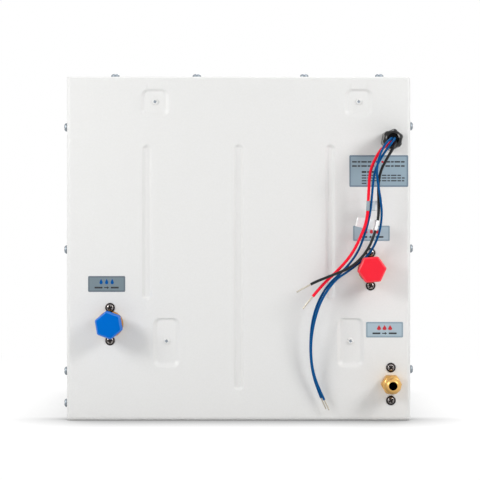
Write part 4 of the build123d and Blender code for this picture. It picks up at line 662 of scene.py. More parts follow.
@dataclass
class PressedCover:
    """Rear cover: one sheet with pressed ribs and screw pads and four folded flanges.

    Places run from the middle of the width and from the lower edge, in millimetres.

    Attributes:
        width: outside width.
        height: outside height.
        sheet: thickness of the sheet.
        fold: outside radius of the folds.
        flange: how far the flanges reach back.
        press: depth of the ribs and pads.
        rib_x: middle line of each rib.
        rib_low: lower end of each rib.
        rib_high: upper end of the ribs.
        rib_half: half the width of a rib at its rim.
        rib_floor: half the width of a rib's floor.
        pads: place across, place up, width and height of each pad.
        pad_radius: corner radius of a pad's rim.
        pad_floor_radius: corner radius of a pad's floor.
        pad_slope: width of the slope between them.
        pad_rise: how far a pad's floor stands above its middle.
        openings: pieces that pass through the sheet, with each opening's radius.
        opening_steps: number of columns round an opening.
        plain_lines: number of grid lines over the whole face.
        margin: distance from a fold to the first of them.
        gap: least distance between two grid lines.
        rib_step: distance of the grid lines across a rib.
        rib_end_step: distance of those at its ends.
        pad_step_x: distance of the grid lines across a pad.
        pad_step_z: distance of those up a pad.
        fold_steps: number of faces round a fold.
    """

    width: float = 322.0
    height: float = 322.0
    sheet: float = 1.0
    fold: float = 3.4
    flange: float = 24.0
    press: float = 2.2
    rib_x: tuple[float, ...] = (-85.7, 0.0, 85.7)
    rib_low: tuple[float, ...] = (112.4, 27.6, 112.4)
    rib_high: float = 258.6
    rib_half: float = 4.8
    rib_floor: float = 1.8
    pads: tuple[tuple[float, float, float, float], ...] = (
        (-78.3, 296.8, 27.0, 27.2), (112.5, 296.8, 27.0, 27.2),
        (-67.5, 72.6, 25.6, 47.7), (104.8, 72.6, 25.6, 47.7),
    )
    pad_radius: float = 7.0
    pad_floor_radius: float = 3.4
    pad_slope: float = 4.0
    pad_rise: float = 1.6
    openings: tuple[tuple[str, float], ...] = (
        ("cold_fitting", 12.4), ("hot_fitting", 12.4), ("gas_fitting", 8.2), ("gland_body", 7.8),
    )
    opening_steps: int = 72
    plain_lines: int = 24
    margin: float = 0.8
    gap: float = 0.3
    rib_step: float = 0.48
    rib_end_step: float = 0.6
    pad_step_x: float = 0.9
    pad_step_z: float = 0.8
    fold_steps: int = 6

    def lines(self, spans: list[tuple[float, float, float]], length: float) -> np.ndarray:
        """Grid lines over a length: coarse, with finer steps over the given spans.

        Args:
            spans: start, end and step of each finer stretch.
            length: the whole length.

        Returns:
            The sorted places of the lines, none too near to the one before.
        """
        inset = self.fold + self.margin
        coarse = np.linspace(inset, length - inset, self.plain_lines)
        fine = [np.arange(low, high + TINY, step) for low, high, step in spans]
        every = np.unique(np.round(np.concatenate([coarse, *fine]), 3))
        keep = np.concatenate([[True], np.diff(every) > self.gap])
        keep[-1] = True
        return every[keep]

    def press_depth(self, x: np.ndarray, z: np.ndarray) -> np.ndarray:
        """How far the sheet is pressed in at each point.

        A rib follows the distance from its middle line.  A pad follows the distance
        from its rim over the sum of the distances from its rim and from its floor,
        which stands a little nearer to the upper edge.

        Args:
            x: places across.
            z: places up.

        Returns:
            The depth at each place.
        """
        depth = np.zeros(np.broadcast(x, z).shape)
        for middle, low in zip(self.rib_x, self.rib_low):
            nearest = np.clip(z, low + self.rib_half, self.rib_high - self.rib_half)
            away = np.hypot(x - middle, z - nearest)
            share = (self.rib_half - away) / (self.rib_half - self.rib_floor)
            depth = np.maximum(depth, self.press * pressed(share))
        slopes = 2 * self.pad_slope
        for middle_x, middle_z, wide, high in self.pads:
            across, up = x - middle_x, z - middle_z
            within = inside_rounded(across, up, wide, high, self.pad_radius)
            floor = inside_rounded(
                across, up - self.pad_rise, wide - slopes, high - slopes, self.pad_floor_radius
            )
            rim, short = np.maximum(within, 0), np.maximum(-floor, 0)
            depth = np.maximum(depth, self.press * pressed(rim / np.maximum(rim + short, TINY)))
        return depth

    def folded_line(self, flat: np.ndarray, length: float) -> tuple[np.ndarray, np.ndarray]:
        """Places and depths along a line that folds back at both ends.

        A fold is a quarter circle: its place is the fold radius times one less the
        sine, and its depth the same with the cosine.

        Args:
            flat: places of the line's points on the flat face.
            length: the face's outside length.

        Returns:
            The place across the face and the depth behind it, for flange, fold, face,
            fold and flange in turn.
        """
        angle = np.linspace(math.pi / 2, 0, self.fold_steps + 1)[:-1]
        start = np.concatenate([[0.0, 0.0], self.fold * (1 - np.sin(angle))])
        depth = np.concatenate([[self.flange, self.flange / 2], self.fold * (1 - np.cos(angle))])
        inside = flat[(flat > self.fold + self.gap) & (flat < length - self.fold - self.gap)]
        line = np.concatenate([start, [self.fold], inside, [length - self.fold], length - start[::-1]])
        deep = np.concatenate([depth, np.zeros(len(inside) + 2), depth[::-1]])
        return line, deep

    def shell(self, place: Place) -> Shell:
        """The outer skin: face with pressings, folds that meet at the corners, and flanges.

        The depth of a point is the sum of the depths of its two folded lines and of
        the pressings.  The squares between two flanges are left open.

        Args:
            place: frame on the outer face, at the middle of the lower edge.

        Returns:
            The skin, without its thickness.
        """
        half = self.width / 2
        end = 2 * self.rib_half
        spans_x = [(half + x - self.rib_half, half + x + self.rib_half, self.rib_step) for x in self.rib_x]
        spans_x += [(half + x - w / 2, half + x + w / 2, self.pad_step_x) for x, z, w, h in self.pads]
        spans_z = [(low, low + end, self.rib_end_step) for low in self.rib_low]
        spans_z += [(self.rib_high - end, self.rib_high, self.rib_end_step)]
        spans_z += [(z - h / 2, z + h / 2, self.pad_step_z) for x, z, w, h in self.pads]
        x, back_x = self.folded_line(self.lines(spans_x, self.width), self.width)
        z, back_z = self.folded_line(self.lines(spans_z, self.height), self.height)
        across, up = np.meshgrid(x - half, z)
        depth = back_x[None, :] + back_z[:, None] + self.press_depth(across, up)
        points = np.stack([across, up, -depth], axis=-1)
        quads = grid_quads(len(z), len(x), False)
        row, column = np.divmod(quads[:, 0], len(x))
        flange_x = np.maximum(back_x[column], back_x[column + 1]) > self.fold
        flange_z = np.maximum(back_z[row], back_z[row + 1]) > self.fold
        return Shell(place.world(points.reshape(-1, 3)), quads[~(flange_x & flange_z)])

    def cutters(self) -> Shell:
        """One cylinder through the sheet for each opening.

        Returns:
            The cylinders in one shell.
        """
        reach = 3 * self.sheet
        shells = []
        for node, radius in self.openings:
            rings = stacked(self.opening_steps, profile((radius, -reach), (radius, reach)))
            shells.append(ring_shell(place_before(node), *rings))
        return joined(shells)

    def build(self) -> bpy.types.Object:
        """Give the skin its thickness and openings, and apply both to its mesh.

        Returns:
            The piece that stands for the cover.
        """
        made = show("pressed_rear_cover", self.shell(rear_place()), POWDER_COAT, "cabinet")
        thick = made.modifiers.new("sheet", "SOLIDIFY")
        thick.thickness = self.sheet * MM
        thick.offset = -1.0
        tool = bpy.data.objects.new("opening_cutters", self.cutters().mesh("opening_cutters"))
        bpy.context.scene.collection.objects.link(tool)
        cut = made.modifiers.new("openings", "BOOLEAN")
        cut.operation = "DIFFERENCE"
        cut.solver = "FAST"
        cut.object = tool
        graph = bpy.context.evaluated_depsgraph_get()
        applied = bpy.data.meshes.new_from_object(made.evaluated_get(graph))
        made.modifiers.clear()
        made.data = applied
        applied.set_sharp_from_angle(angle=SMOOTH_ANGLE)
        bpy.data.objects.remove(tool)
        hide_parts("rear_cover")
        return made


# ---- screws -----------------------------------------------------------------
@dataclass(frozen=True)
class ScrewHead:
    """Round head with a cross recess, on a shank.

    Attributes:
        radius: radius of the whole head.
        height: height of the crown.
        crown: radius of the domed crown inside the brim.
        brim: height of the brim's upper face.
        recess: depth of the cross, as a share of the height.
        reach: how far the cross runs out, as a share of the crown.
        shank: radius of the shank.
        length: how far the shank goes in.
        chamfer: size of the brim's lower chamfer.
        dome: power of the crown's curve, above 2 for one flatter than an ellipse.
        bar: half the width of the cross's bars, as a share of the crown.
        wall: width of the bars' sloping walls, as a share of the crown.
        runout: length of the bars' sloping ends, as a share of the crown.
        steps: number of columns around.
    """

    radius: float
    height: float
    crown: float
    brim: float
    recess: float = 0.6
    reach: float = 0.74
    shank: float = 2.0
    length: float = 7.0
    chamfer: float = 0.15
    dome: float = 2.6
    bar: float = 0.2
    wall: float = 0.08
    runout: float = 0.3
    steps: int = 64

    def shell(self, place: Place, turn: float) -> Shell:
        """The head as a height over its plan, less the cross recess.

        The crown's height is the root of one less the radius's share to a power.  The
        recess is deepest in the middle and runs out along two crossed bars, each deep
        by how far a point is inside the bar's side and before its end.  Zone 0 is the
        crown, 1 the brim with the shank, and 2 the recess.

        Args:
            place: frame whose out direction is the screw's axis, on the face it holds.
            turn: angle of the cross, in radians.

        Returns:
            The screw's surface with its zones.
        """
        foot = profile(
            (self.shank, -self.length), (self.shank, 0.0), (self.radius - self.chamfer, 0.0),
            (self.radius, self.chamfer), (self.radius, 0.6 * self.brim),
            (self.radius - 2 * self.chamfer, 0.85 * self.brim), (self.crown + 0.05, self.brim),
        )
        share = np.concatenate([np.linspace(0, 0.94, 17), [0.985, 1.0]])[::-1, None]
        angle = around(self.steps)
        wide = self.crown * share
        high = self.brim + (self.height - self.brim) * np.sqrt(np.clip(1 - share ** self.dome, 0, 1))
        x, y = np.abs(wide * np.cos(angle)), np.abs(wide * np.sin(angle))
        inside = (self.bar * self.crown - np.minimum(x, y)) / (self.wall * self.crown)
        before = (self.reach * self.crown - np.maximum(x, y)) / (self.runout * self.crown)
        sunk = np.clip(inside + 0.5, 0, 1) * np.sqrt(np.clip(before, 0, 1))
        radii, heights = stacked(self.steps, foot, (wide, high - self.recess * self.height * sunk))
        # Zone 2 is the cross recess; its darker finish in every group is painted shade.
        zones = np.ones((len(radii) - 1, self.steps), int)
        zones[len(foot[0]):] = np.where(sunk[1:] > 0.35, 2, 0)
        return ring_shell(place, radii, heights, turn, zones)


@dataclass
class Screws:
    """All screws of the rear side, each kind as one piece like its node.

    Attributes:
        spacing: distance between the two screws of a connection.
        row: how far behind the rear face the flange screws stand.
        top_x: places of the top flange's screws across.
        left_z: places of the left flange's screws up.
        right_z: places of the right flange's screws up.
        first_turn: angle of each group's first cross, in radians.
        next_turn: how much further each next one is turned, in radians.
    """

    spacing: float = 30.8
    row: float = 10.0
    top_x: tuple[float, ...] = (-116.0, -39.3, 61.8, 132.4)
    left_z: tuple[float, ...] = (274.9, 159.9, 45.7, 15.6)
    right_z: tuple[float, ...] = (276.0, 161.0, 47.3)
    first_turn: float = 0.35
    next_turn: float = 1.3

    def fitting_places(self) -> list[Place]:
        """Above and below each of the three connections."""
        places = [place_before(node) for node in ("cold_fitting", "hot_fitting", "gas_fitting")]
        return [place.shifted(0.0, side * self.spacing / 2) for place in places for side in (1, -1)]

    def flange_places(self, rear: Place, cover: PressedCover) -> list[Place]:
        """Along the top, left and right flanges, with their axes outwards.

        Args:
            rear: frame on the cover's outer face.
            cover: the cover, for its width and height.

        Returns:
            One frame for each screw.
        """
        y = rear.origin[1] + self.row
        half = cover.width / 2
        top = [Place((x, y, cover.height), (1, 0, 0), (0, 1, 0), (0, 0, 1)) for x in self.top_x]
        left = [Place((-half, y, z), (0, -1, 0), (0, 0, 1), (-1, 0, 0)) for z in self.left_z]
        right = [Place((half, y, z), (0, 1, 0), (0, 0, 1), (1, 0, 0)) for z in self.right_z]
        return top + left + right

    def build(self, cover: PressedCover) -> None:
        """Make the three groups.

        Args:
            cover: the cover that they hold, for its pads, press, width and height.
        """
        rear = rear_place()
        pads = [rear.shifted(x, z + cover.pad_rise, -cover.press) for x, z, w, h in cover.pads]
        # Finishes of crown, brim with shank, and cross recess. Each darker recess finish is painted shade;
        # the fitting screws' light crown over a dark brim is a painted highlight over a painted dark
        # reflection.
        groups = [
            ("fitting_screw_heads", "fitting_screws", self.fitting_places(),
             ScrewHead(4.5, 2.2, 3.2, 0.9), (CROWN_HIGHLIGHT_OXIDE, BLACK_OXIDE_AND_SHADE, BLACK_OXIDE_AND_SHADE)),
            ("pad_screw_heads", "pad_screws", pads,
             ScrewHead(3.2, 1.6, 3.0, 0.45, 0.3, 0.5), (POWDER_COAT, POWDER_COAT, DULL_ZINC_AND_SHADE)),
            ("flange_screw_heads", "flange_screws", self.flange_places(rear, cover),
             ScrewHead(4.2, 3.2, 4.0, 0.9), (DULL_ZINC_AND_SHADE, DULL_ZINC_AND_SHADE, BLACK_OXIDE_AND_SHADE)),
        ]
        for name, node, places, head, finishes in groups:
            turns = self.first_turn + self.next_turn * np.arange(len(places))
            heads = joined([head.shell(place, turn) for place, turn in zip(places, turns)])
            show(name, heads, finishes, "cabinet", node)


# ---- connections ------------------------------------------------------------
@dataclass(frozen=True)
class Thread:
    """Outside thread: a ridge that climbs by its pitch in each turn.

    Attributes:
        crest: radius of the ridge.
        root: radius between the ridges.
        start: height at which it begins.
        end: height at which it ends.
        pitch: how far it climbs in a turn.
        steep: how much steeper the flanks are than those of a plain triangle, which
            leaves a flat at crest and root.
        fade: length over which it runs out at either end, as a share of the pitch.
    """

    crest: float
    root: float
    start: float
    end: float
    pitch: float
    steep: float = 1.25
    fade: float = 0.8

    def rings(self, steps: int, rows_per_turn: int = 8) -> tuple[np.ndarray, np.ndarray]:
        """Radii and heights of the thread's rings.

        The radius swings between root and crest as a triangle of height over pitch
        less the share of the turn, and it runs out to the root at both ends.

        Args:
            steps: number of columns around.
            rows_per_turn: number of rings over one pitch.

        Returns:
            The radii and the heights, one row for each ring.
        """
        rows = int(rows_per_turn * (self.end - self.start) / self.pitch) + 1
        height = np.linspace(self.start, self.end, rows)[:, None]
        share = np.arange(steps)[None, :] / steps
        phase = (height / self.pitch - share) % 1.0
        ridge = np.clip(self.steep * (1 - 2 * np.abs(phase - 0.5)), 0, 1)
        from_end = np.minimum(height - self.start, self.end - height)
        runout = np.clip(from_end / (self.fade * self.pitch), 0, 1)
        return self.root + (self.crest - self.root) * ridge * runout, np.broadcast_to(height, (rows, steps))


@dataclass
class Connections:
    """The two water connections with their caps, and the gas connection.

    Heights run outwards from the rear cover's face, in millimetres.

    Attributes:
        sheet: thickness of the rear cover.
        plate: width, height and thickness of the plate behind the cover.
        plate_radius: radius of that plate's corners.
        stub_end: how far the stubs behind it reach in.
        blind: how far before that end the bores stop.
        chamfer: size of the small chamfers.
        collar: radius of the water connections' collar.
        collar_edge: size of its chamfer.
        stub: radius of their stub.
        water_bore: radius of their bore.
        water_length: how far they stand out.
        water_tip: radius of the plain end before their thread.
        water_plain: length without a thread behind it and before it.
        pipe_thread: crest radius, root radius and pitch of their thread.
        gas_bore: radius of the gas connection's bore.
        gas_mouth: width and depth of the chamfer at its mouth.
        gas_stub: radius of its stub.
        gas_hex: width of its hexagon over flats.
        gas_hex_front: height of the hexagon's front.
        gas_levels: heights of the rings up the hexagon.
        gas_cone: largest radius of the cones that cut the hexagon's corners.
        gas_cone_from: height at which the front cone begins.
        gas_slopes: how much the cone at the rear and at the front shrinks over a height.
        gas_neck: length of the plain neck between the hexagon and the thread.
        flare_thread: crest radius, root radius and pitch of the gas thread.
        flare_end: height at which that thread ends.
        nose_foot: radius and height of the points where the nose leaves the thread.
        nose: height of the nose's end.
        nose_rim: radius of the flat on that end.
        nose_edge: height of the rounding before it.
        cap_flats: width of the caps over flats.
        cap_corner: where their corners are cut, as a share of a sharp corner's radius.
        cap_rim: height of their open end.
        cap_front: height of their closed front.
        cap_bore: radius of their bore.
        cap_bore_end: height at which it stops.
        cap_bevel: height of the bevel round the front.
        cap_slope: how much the radius shrinks over a height in that bevel.
        cap_levels: how far below the front the rings of the side's upper end lie.
        cap_edge: height of the rounding at the open end, which is half as wide.
        cap_round: width of the rounding between the bevel and the front.
    """

    sheet: float = 1.0
    plate: tuple[float, float, float] = (27.0, 42.0, 3.0)
    plate_radius: float = 5.0
    stub_end: float = 26.0
    blind: float = 3.0
    chamfer: float = 0.3
    collar: float = 12.2
    collar_edge: float = 0.25
    stub: float = 9.2
    water_bore: float = 7.6
    water_length: float = 19.0
    water_tip: float = 9.6
    water_plain: tuple[float, float] = (0.6, 1.2)
    pipe_thread: tuple[float, float, float] = (10.67, 10.0, 1.81)
    gas_bore: float = 3.8
    gas_mouth: tuple[float, float] = (0.2, 0.4)
    gas_stub: float = 8.0
    gas_hex: float = 17.0
    gas_hex_front: float = 10.0
    gas_levels: tuple[float, ...] = (0.0, 1.0, 2.0, 8.2, 8.9, 9.5)
    gas_cone: float = 9.95
    gas_cone_from: float = 8.4
    gas_slopes: tuple[float, float] = (0.5, 0.85)
    gas_neck: float = 1.2
    flare_thread: tuple[float, float, float] = (7.94, 7.2, 1.41)
    flare_end: float = 21.9
    nose_foot: tuple[tuple[float, float], ...] = ((7.45, 22.1), (7.3, 22.6))
    nose: float = 25.6
    nose_rim: float = 4.4
    nose_edge: float = 0.12
    cap_flats: float = 23.2
    cap_corner: float = 0.975
    cap_rim: float = 9.4
    cap_front: float = 24.2
    cap_bore: float = 10.87
    cap_bore_end: float = 20.2
    cap_bevel: float = 1.1
    cap_slope: float = 1.15
    cap_levels: tuple[float, ...] = (1.6, 1.15, 0.9, 0.25, 0.05)
    cap_edge: float = 0.5
    cap_round: float = 0.15

    def stem(self, radius: float, steps: int) -> tuple[np.ndarray, np.ndarray]:
        """Rings of the inner stub and of the plate with round corners behind the cover.

        Args:
            radius: the stub's radius.
            steps: number of columns around.

        Returns:
            The radii and the heights of the rings, from the stub's end outwards.
        """
        wide, high, thick = self.plate
        rim = rounded_radius(wide, high, self.plate_radius, around(steps))
        back, front = -self.sheet - thick, -self.sheet
        return stacked(
            steps,
            profile((radius, -self.stub_end), (radius, back)),
            (np.repeat(rim, 2, axis=0), np.array([[back], [front]])),
        )

    def bore(self, radius: float) -> tuple[np.ndarray, np.ndarray]:
        """Rings of a bore's wall and of its closed end."""
        end = self.blind - self.stub_end
        return profile((radius, end), (0.0, end))

    def water(self, node: str) -> None:
        """Collar, pipe thread, bore and inner stub, turned from one bar.

        Args:
            node: the connection that is made.
        """
        place = place_before(node)
        steps = 48
        crest, root, pitch = self.pipe_thread
        front, edge = self.water_length, self.collar_edge
        behind, before = self.water_plain
        thread = Thread(crest, root, behind, front - before, pitch)
        radii, heights = stacked(
            steps,
            self.stem(self.stub, steps),
            profile((self.collar, -self.sheet), (self.collar, -edge), (self.collar - edge, 0.0), (root, 0.0)),
            thread.rings(steps),
            profile((self.water_tip, front - self.chamfer), (self.water_tip - self.chamfer, front),
                    (self.water_bore + self.chamfer, front), (self.water_bore, front - self.chamfer)),
            self.bore(self.water_bore),
        )
        show(f"{node}_turned", ring_shell(place, radii, heights), TURNED_BRASS, "cabinet", node)

    def gas(self) -> None:
        """Hexagon with chamfered corners, flare thread, 45-degree nose and bore.

        The hexagon's radius is cut by a cone at either face.
        """
        node = "gas_fitting"
        place = place_before(node)
        steps = 72
        outline = hex_radius(self.gas_hex, around(steps) + math.pi / 6)
        levels = np.array([*self.gas_levels, self.gas_hex_front])[:, None]
        rear_slope, front_slope = self.gas_slopes
        front_cone = front_slope * np.clip(levels - self.gas_cone_from, 0, None)
        rear_cone = rear_slope * np.clip(self.gas_levels[1] - levels, 0, None)
        crest, root, pitch = self.flare_thread
        neck_end = self.gas_hex_front + self.gas_neck
        thread = Thread(crest, root, neck_end, self.flare_end, pitch)
        mouth_width, mouth_depth = self.gas_mouth
        radii, heights = stacked(
            steps,
            self.stem(self.gas_stub, steps),
            profile((self.gas_stub, -self.sheet), (self.gas_stub, 0.0)),
            (np.minimum(outline, self.gas_cone - front_cone - rear_cone), levels),
            profile((root, self.gas_hex_front + 0.1), (root, neck_end - 0.1)),
            thread.rings(steps),
            profile(*self.nose_foot, (self.nose_rim + self.chamfer, self.nose - self.nose_edge),
                    (self.nose_rim, self.nose), (self.gas_bore + mouth_width, self.nose),
                    (self.gas_bore, self.nose - mouth_depth)),
            self.bore(self.gas_bore),
        )
        # The last two bands are the bore's wall and its end, which carry the painted shade.
        zones = np.zeros((len(radii) - 1, 1), int)
        zones[-2:] = 1
        body = ring_shell(place, radii, heights, zones=zones)
        show("gas_fitting_turned", body, (TURNED_BRASS, BORE_SHADE_BRASS), "cabinet", node)

    def cap(self, node: str, body: str, finishes: tuple[Finish, Finish], turn: float) -> None:
        """Six-sided cap: straight sides, an even bevel round the front, and a blind bore.

        The side's radius is the hexagon's, less the height that lies in the bevel times
        its slope, and less what rounds the rim.

        Args:
            node: the cap that is made.
            body: the body that it moves with.
            finishes: finishes of the cap and of its bevel.
            turn: angle of the hexagon, in degrees.
        """
        place = place_before(node)
        steps = 144
        flat = math.radians(turn) + math.pi / 6
        outline = hex_radius(self.cap_flats, around(steps) - flat, self.cap_corner)
        rim, front = self.cap_rim, self.cap_front
        levels = np.array([rim, rim + self.cap_edge, *(front - level for level in self.cap_levels)])[:, None]
        bevel = self.cap_slope * np.clip(levels - (front - self.cap_bevel), 0, None)
        side = outline - bevel - 0.5 * np.clip(rim + self.cap_edge - levels, 0, None)
        inner = side[-1:]
        face = np.full((1, steps), front)
        bore = profile((0.0, self.cap_bore_end), (self.cap_bore, self.cap_bore_end), (self.cap_bore, rim))
        radii, heights = stacked(
            steps, bore, (side, levels), (inner - self.cap_round, face), (inner / 2, face),
            profile((0.0, front)),
        )
        # The polished finish runs from just under the bevel to the edge of the front.
        zones = np.zeros((len(radii) - 1, 1), int)
        zones[len(bore[0]) + 2:-2] = 1
        show(f"{node}_moulded", ring_shell(place, radii, heights, zones=zones), finishes, body, node)

    def build(self) -> None:
        """Make the connections and the caps."""
        self.water("cold_fitting")
        self.water("hot_fitting")
        self.gas()
        self.cap("cold_cap", "cold_cap_body", (BLUE_CAP, BLUE_BEVEL), 40.0)
        self.cap("hot_cap", "hot_cap_body", (RED_CAP, RED_BEVEL), 5.5)


# ---- cable gland ------------------------------------------------------------
@dataclass
class Gland:
    """Nylon cable gland: hexagon body and a domed gripping nut with lobes.

    Heights run outwards from the rear cover's face, in millimetres.

    Attributes:
        lobes: number of the nut's lobes.
        lobe_turn: angle of the first one, in radians.
        lobe: how far the lobes stand out.
        lobe_power: below 1 for lobes with broad tops and narrow valleys.
        lobe_end: height at which the lobes have faded into the face.
        lobe_fade: height over which they fade there.
        fade_power: power of that fading, below 1 for one that ends fast.
        rear_fade: height over which they grow out of the nut's rear end.
        side_levels: heights of the rings up the nut's side.
        side: height and radius of the points of the nut's side.
        face: height and radius of the points of its round face, up to the nut's front.
        mouth: radius of the mouth.
        seat: height of the face that the nut's inside rests on.
        shank: radius of the body's shank.
        shank_end: how far the shank goes in.
        flats: width of the body's hexagon over flats.
        hex_front: height of the hexagon's front.
        hex_levels: heights of the rings up the hexagon.
        cone: largest radius of the cones that cut the hexagon's corners.
        cone_from: height at which the front cone begins.
        hex_slopes: how much the cone at the rear and at the front shrinks over a height.
        steps: number of columns around.
    """

    lobes: int = 6
    lobe_turn: float = math.radians(20)
    lobe: float = 1.1
    lobe_power: float = 0.6
    lobe_end: float = 24.6
    lobe_fade: float = 1.4
    fade_power: float = 0.7
    rear_fade: float = 0.6
    side_levels: tuple[float, ...] = (8.0, 8.3, 14.0, 19.0, 22.0, 22.8)
    side: tuple[tuple[float, float], ...] = ((8.0, 8.6), (20.0, 8.5))
    face: tuple[tuple[float, float], ...] = (
        (23.4, 8.45), (24.0, 8.4), (24.58, 8.3), (25.16, 8.0), (25.65, 7.6), (26.18, 7.0), (26.56, 6.4),
        (26.83, 5.8), (27.0, 5.35),
    )
    mouth: float = 5.3
    seat: float = 14.0
    shank: float = 7.6
    shank_end: float = 8.0
    flats: float = 17.6
    hex_front: float = 8.0
    hex_levels: tuple[float, ...] = (0.0, 0.6, 6.6, 7.4)
    cone: float = 9.9
    cone_from: float = 6.4
    hex_slopes: tuple[float, float] = (0.6, 0.9)
    steps: int = 96

    def nut(self, place: Place) -> Shell:
        """Lobed sides and a face that rounds off from the mouth outwards.

        The radius is read off the side's and the face's points, plus a power of the
        cosine of the angle times the number of lobes, which fades at both ends.

        Args:
            place: frame on the rear cover's face, at the gland's middle.

        Returns:
            The nut's surface.
        """
        swell = np.cos(self.lobes * (around(self.steps) - self.lobe_turn))
        bulge = np.sign(swell) * np.abs(swell) ** self.lobe_power * 0.5 + 0.5
        levels = np.array([*self.side_levels, *(height for height, radius in self.face)])[:, None]
        base = np.interp(levels, *np.array([*self.side, *self.face]).T)
        front_fade = np.clip((self.lobe_end - levels) / self.lobe_fade, 0, 1) ** self.fade_power
        rear_fade = np.clip((levels - self.hex_front) / self.rear_fade + 0.5, 0, 1)
        outer = base + self.lobe * bulge * front_fade * rear_fade
        front, rim = self.face[-1]
        inside = profile(
            (rim, front - 0.05), (self.mouth, front - 0.4), (self.mouth, self.seat),
            (self.shank, self.seat), (self.shank, self.hex_front),
        )
        return ring_shell(place, *stacked(self.steps, (outer, levels), inside))

    def body(self, place: Place) -> Shell:
        """Hexagon with chamfered corners on a threaded shank, bored through.

        The hexagon's radius is cut by a cone at either face.

        Args:
            place: frame on the rear cover's face, at the gland's middle.

        Returns:
            The body's surface.
        """
        outline = hex_radius(self.flats, around(self.steps) - self.lobe_turn - math.pi / 6)
        levels = np.array([*self.hex_levels, self.hex_front])[:, None]
        rear_slope, front_slope = self.hex_slopes
        front_cone = front_slope * np.clip(levels - self.cone_from, 0, None)
        rear_cone = rear_slope * np.clip(self.hex_levels[1] - levels, 0, None)
        return ring_shell(place, *stacked(
            self.steps,
            profile((self.mouth, self.seat), (self.mouth, -self.shank_end), (self.shank, -self.shank_end),
                    (self.shank, 0.0)),
            (np.minimum(outline, self.cone - front_cone - rear_cone), levels),
            profile((self.shank, self.hex_front), (self.shank, self.seat), (self.mouth + 0.01, self.seat)),
        ))

    def build(self) -> None:
        """Make the nut and the body."""
        place = place_before("gland_seal")
        show("gland_nut_moulded", self.nut(place), BLACK_NYLON, "cabinet", "gland_nut")
        show("gland_body_moulded", self.body(place), BLACK_NYLON, "cabinet", "gland_body")


# ---- loose wires ------------------------------------------------------------
@dataclass(frozen=True)
class Wire:
    """One insulated wire from the gland's seal to its stripped end.

    Attributes:
        node: the solid that it stands for.
        diameter: outside diameter in millimetres.
        bare: length of the stripped end.
        length: length of the whole wire.
        finish: finish of the insulation.
        route: control points along X, away from the cabinet, and along Z, from the
            middle of the seal's face.
        ring_step: distance between the rings of the insulation.
        strand_step: distance between the rings of the bare end.
        core: radius of the bare strands, as a share of the insulation's.
        strands: number of strands that show round the bare end.
        groove: how deep the grooves between them are, as a share of the core's radius.
        twist: length over which the strands turn by one radian.
        cut: how much the insulation's edge is rounded at the cut.
        steps: number of columns around.
    """

    node: str
    diameter: float
    bare: float
    length: float
    finish: Finish
    route: tuple[tuple[float, float, float], ...]
    ring_step: float = 0.9
    strand_step: float = 0.35
    core: float = 0.5
    strands: int = 5
    groove: float = 0.16
    twist: float = 1.3
    cut: float = 0.12
    steps: int = 20

    def line(self, seal: np.ndarray) -> np.ndarray:
        """Points along the smooth line that the route controls, in millimetres.

        The line is a quadratic B-spline that starts and ends on the outer points.

        Args:
            seal: middle of the seal's face.

        Returns:
            The points, one in each row.
        """
        places = [(seal[0] + x, seal[1] - out, seal[2] + z) for x, out, z in self.route]
        curve = bpy.data.curves.new(self.node, "CURVE")
        curve.dimensions = "3D"
        curve.resolution_u = 24
        spline = curve.splines.new("NURBS")
        spline.points.add(len(places) - 1)
        spline.points.foreach_set("co", [v for p in places for v in (p[0] * MM, p[1] * MM, p[2] * MM, 1.0)])
        spline.order_u = 3
        spline.use_endpoint_u = True
        holder = bpy.data.objects.new(self.node + "_line", curve)
        mesh = bpy.data.meshes.new_from_object(holder)
        points = np.zeros(len(mesh.vertices) * 3)
        mesh.vertices.foreach_get("co", points)
        bpy.data.objects.remove(holder)
        bpy.data.meshes.remove(mesh)
        return points.reshape(-1, 3) / MM

    def build(self, seal: np.ndarray) -> tuple[bpy.types.Object, np.ndarray]:
        """Sweep the insulation and, past its end, the twisted strand along the line.

        The strand's radius swings with the cosine of the angle less the length over
        the twist, times the number of strands.

        Args:
            seal: middle of the seal's face.

        Returns:
            The wire and the points of its line.
        """
        raw = self.line(seal)
        gone = np.concatenate([[0.0], np.cumsum(np.linalg.norm(np.diff(raw, axis=0), axis=1))])
        total = gone[-1]
        edge = total - self.bare
        # Three rings close together make the cut edge of the insulation.
        spots = np.concatenate([
            np.linspace(0, edge - 0.25, int(edge / self.ring_step)), [edge - 0.08, edge, edge + 0.02],
            np.linspace(edge + 0.2, total - 0.3, int(self.bare / self.strand_step)), [total],
        ])
        line = np.stack([np.interp(spots, gone, raw[:, n]) for n in range(3)], axis=-1)
        along = np.gradient(line, axis=0)
        along /= np.linalg.norm(along, axis=1)[:, None]
        # The direction that starts the section is one that no wire runs along.
        side = np.cross(along, np.array([0.3, 1.0, 0.2]))
        side /= np.linalg.norm(side, axis=1)[:, None]
        other = np.cross(along, side)
        angle = around(self.steps)
        spot = spots[:, None]
        half = self.diameter / 2
        wave = np.cos(self.strands * (angle - (spot - edge) / self.twist))
        strand = self.core * half * (1 + self.groove * wave) * np.where(spot > total - 0.01, 0.7, 1.0)
        insulation = np.where(np.abs(spot - edge) < 0.005, half - self.cut, half)
        radius = np.where(spot > edge + 0.01, strand, insulation)
        way = np.cos(angle)[..., None] * side[:, None] + np.sin(angle)[..., None] * other[:, None]
        points = (line[:, None] + radius[..., None] * way).reshape(-1, 3)
        shell = Shell(points, grid_quads(len(spots), self.steps, True))
        last = (len(spots) - 1) * self.steps
        shell.polygons = [list(range(self.steps))[::-1], [last + n for n in range(self.steps)]]
        made = show(self.node + "_insulated", shell, self.finish, "cabinet", self.node)
        made.data.materials.append(TINNED_COPPER.material())
        rings = np.repeat(np.arange(len(spots) - 1), self.steps)
        bare = np.concatenate([spots[rings + 1] > edge + 0.01, [False, True]])
        made.data.polygons.foreach_set("material_index", bare.astype(int))
        return made, line


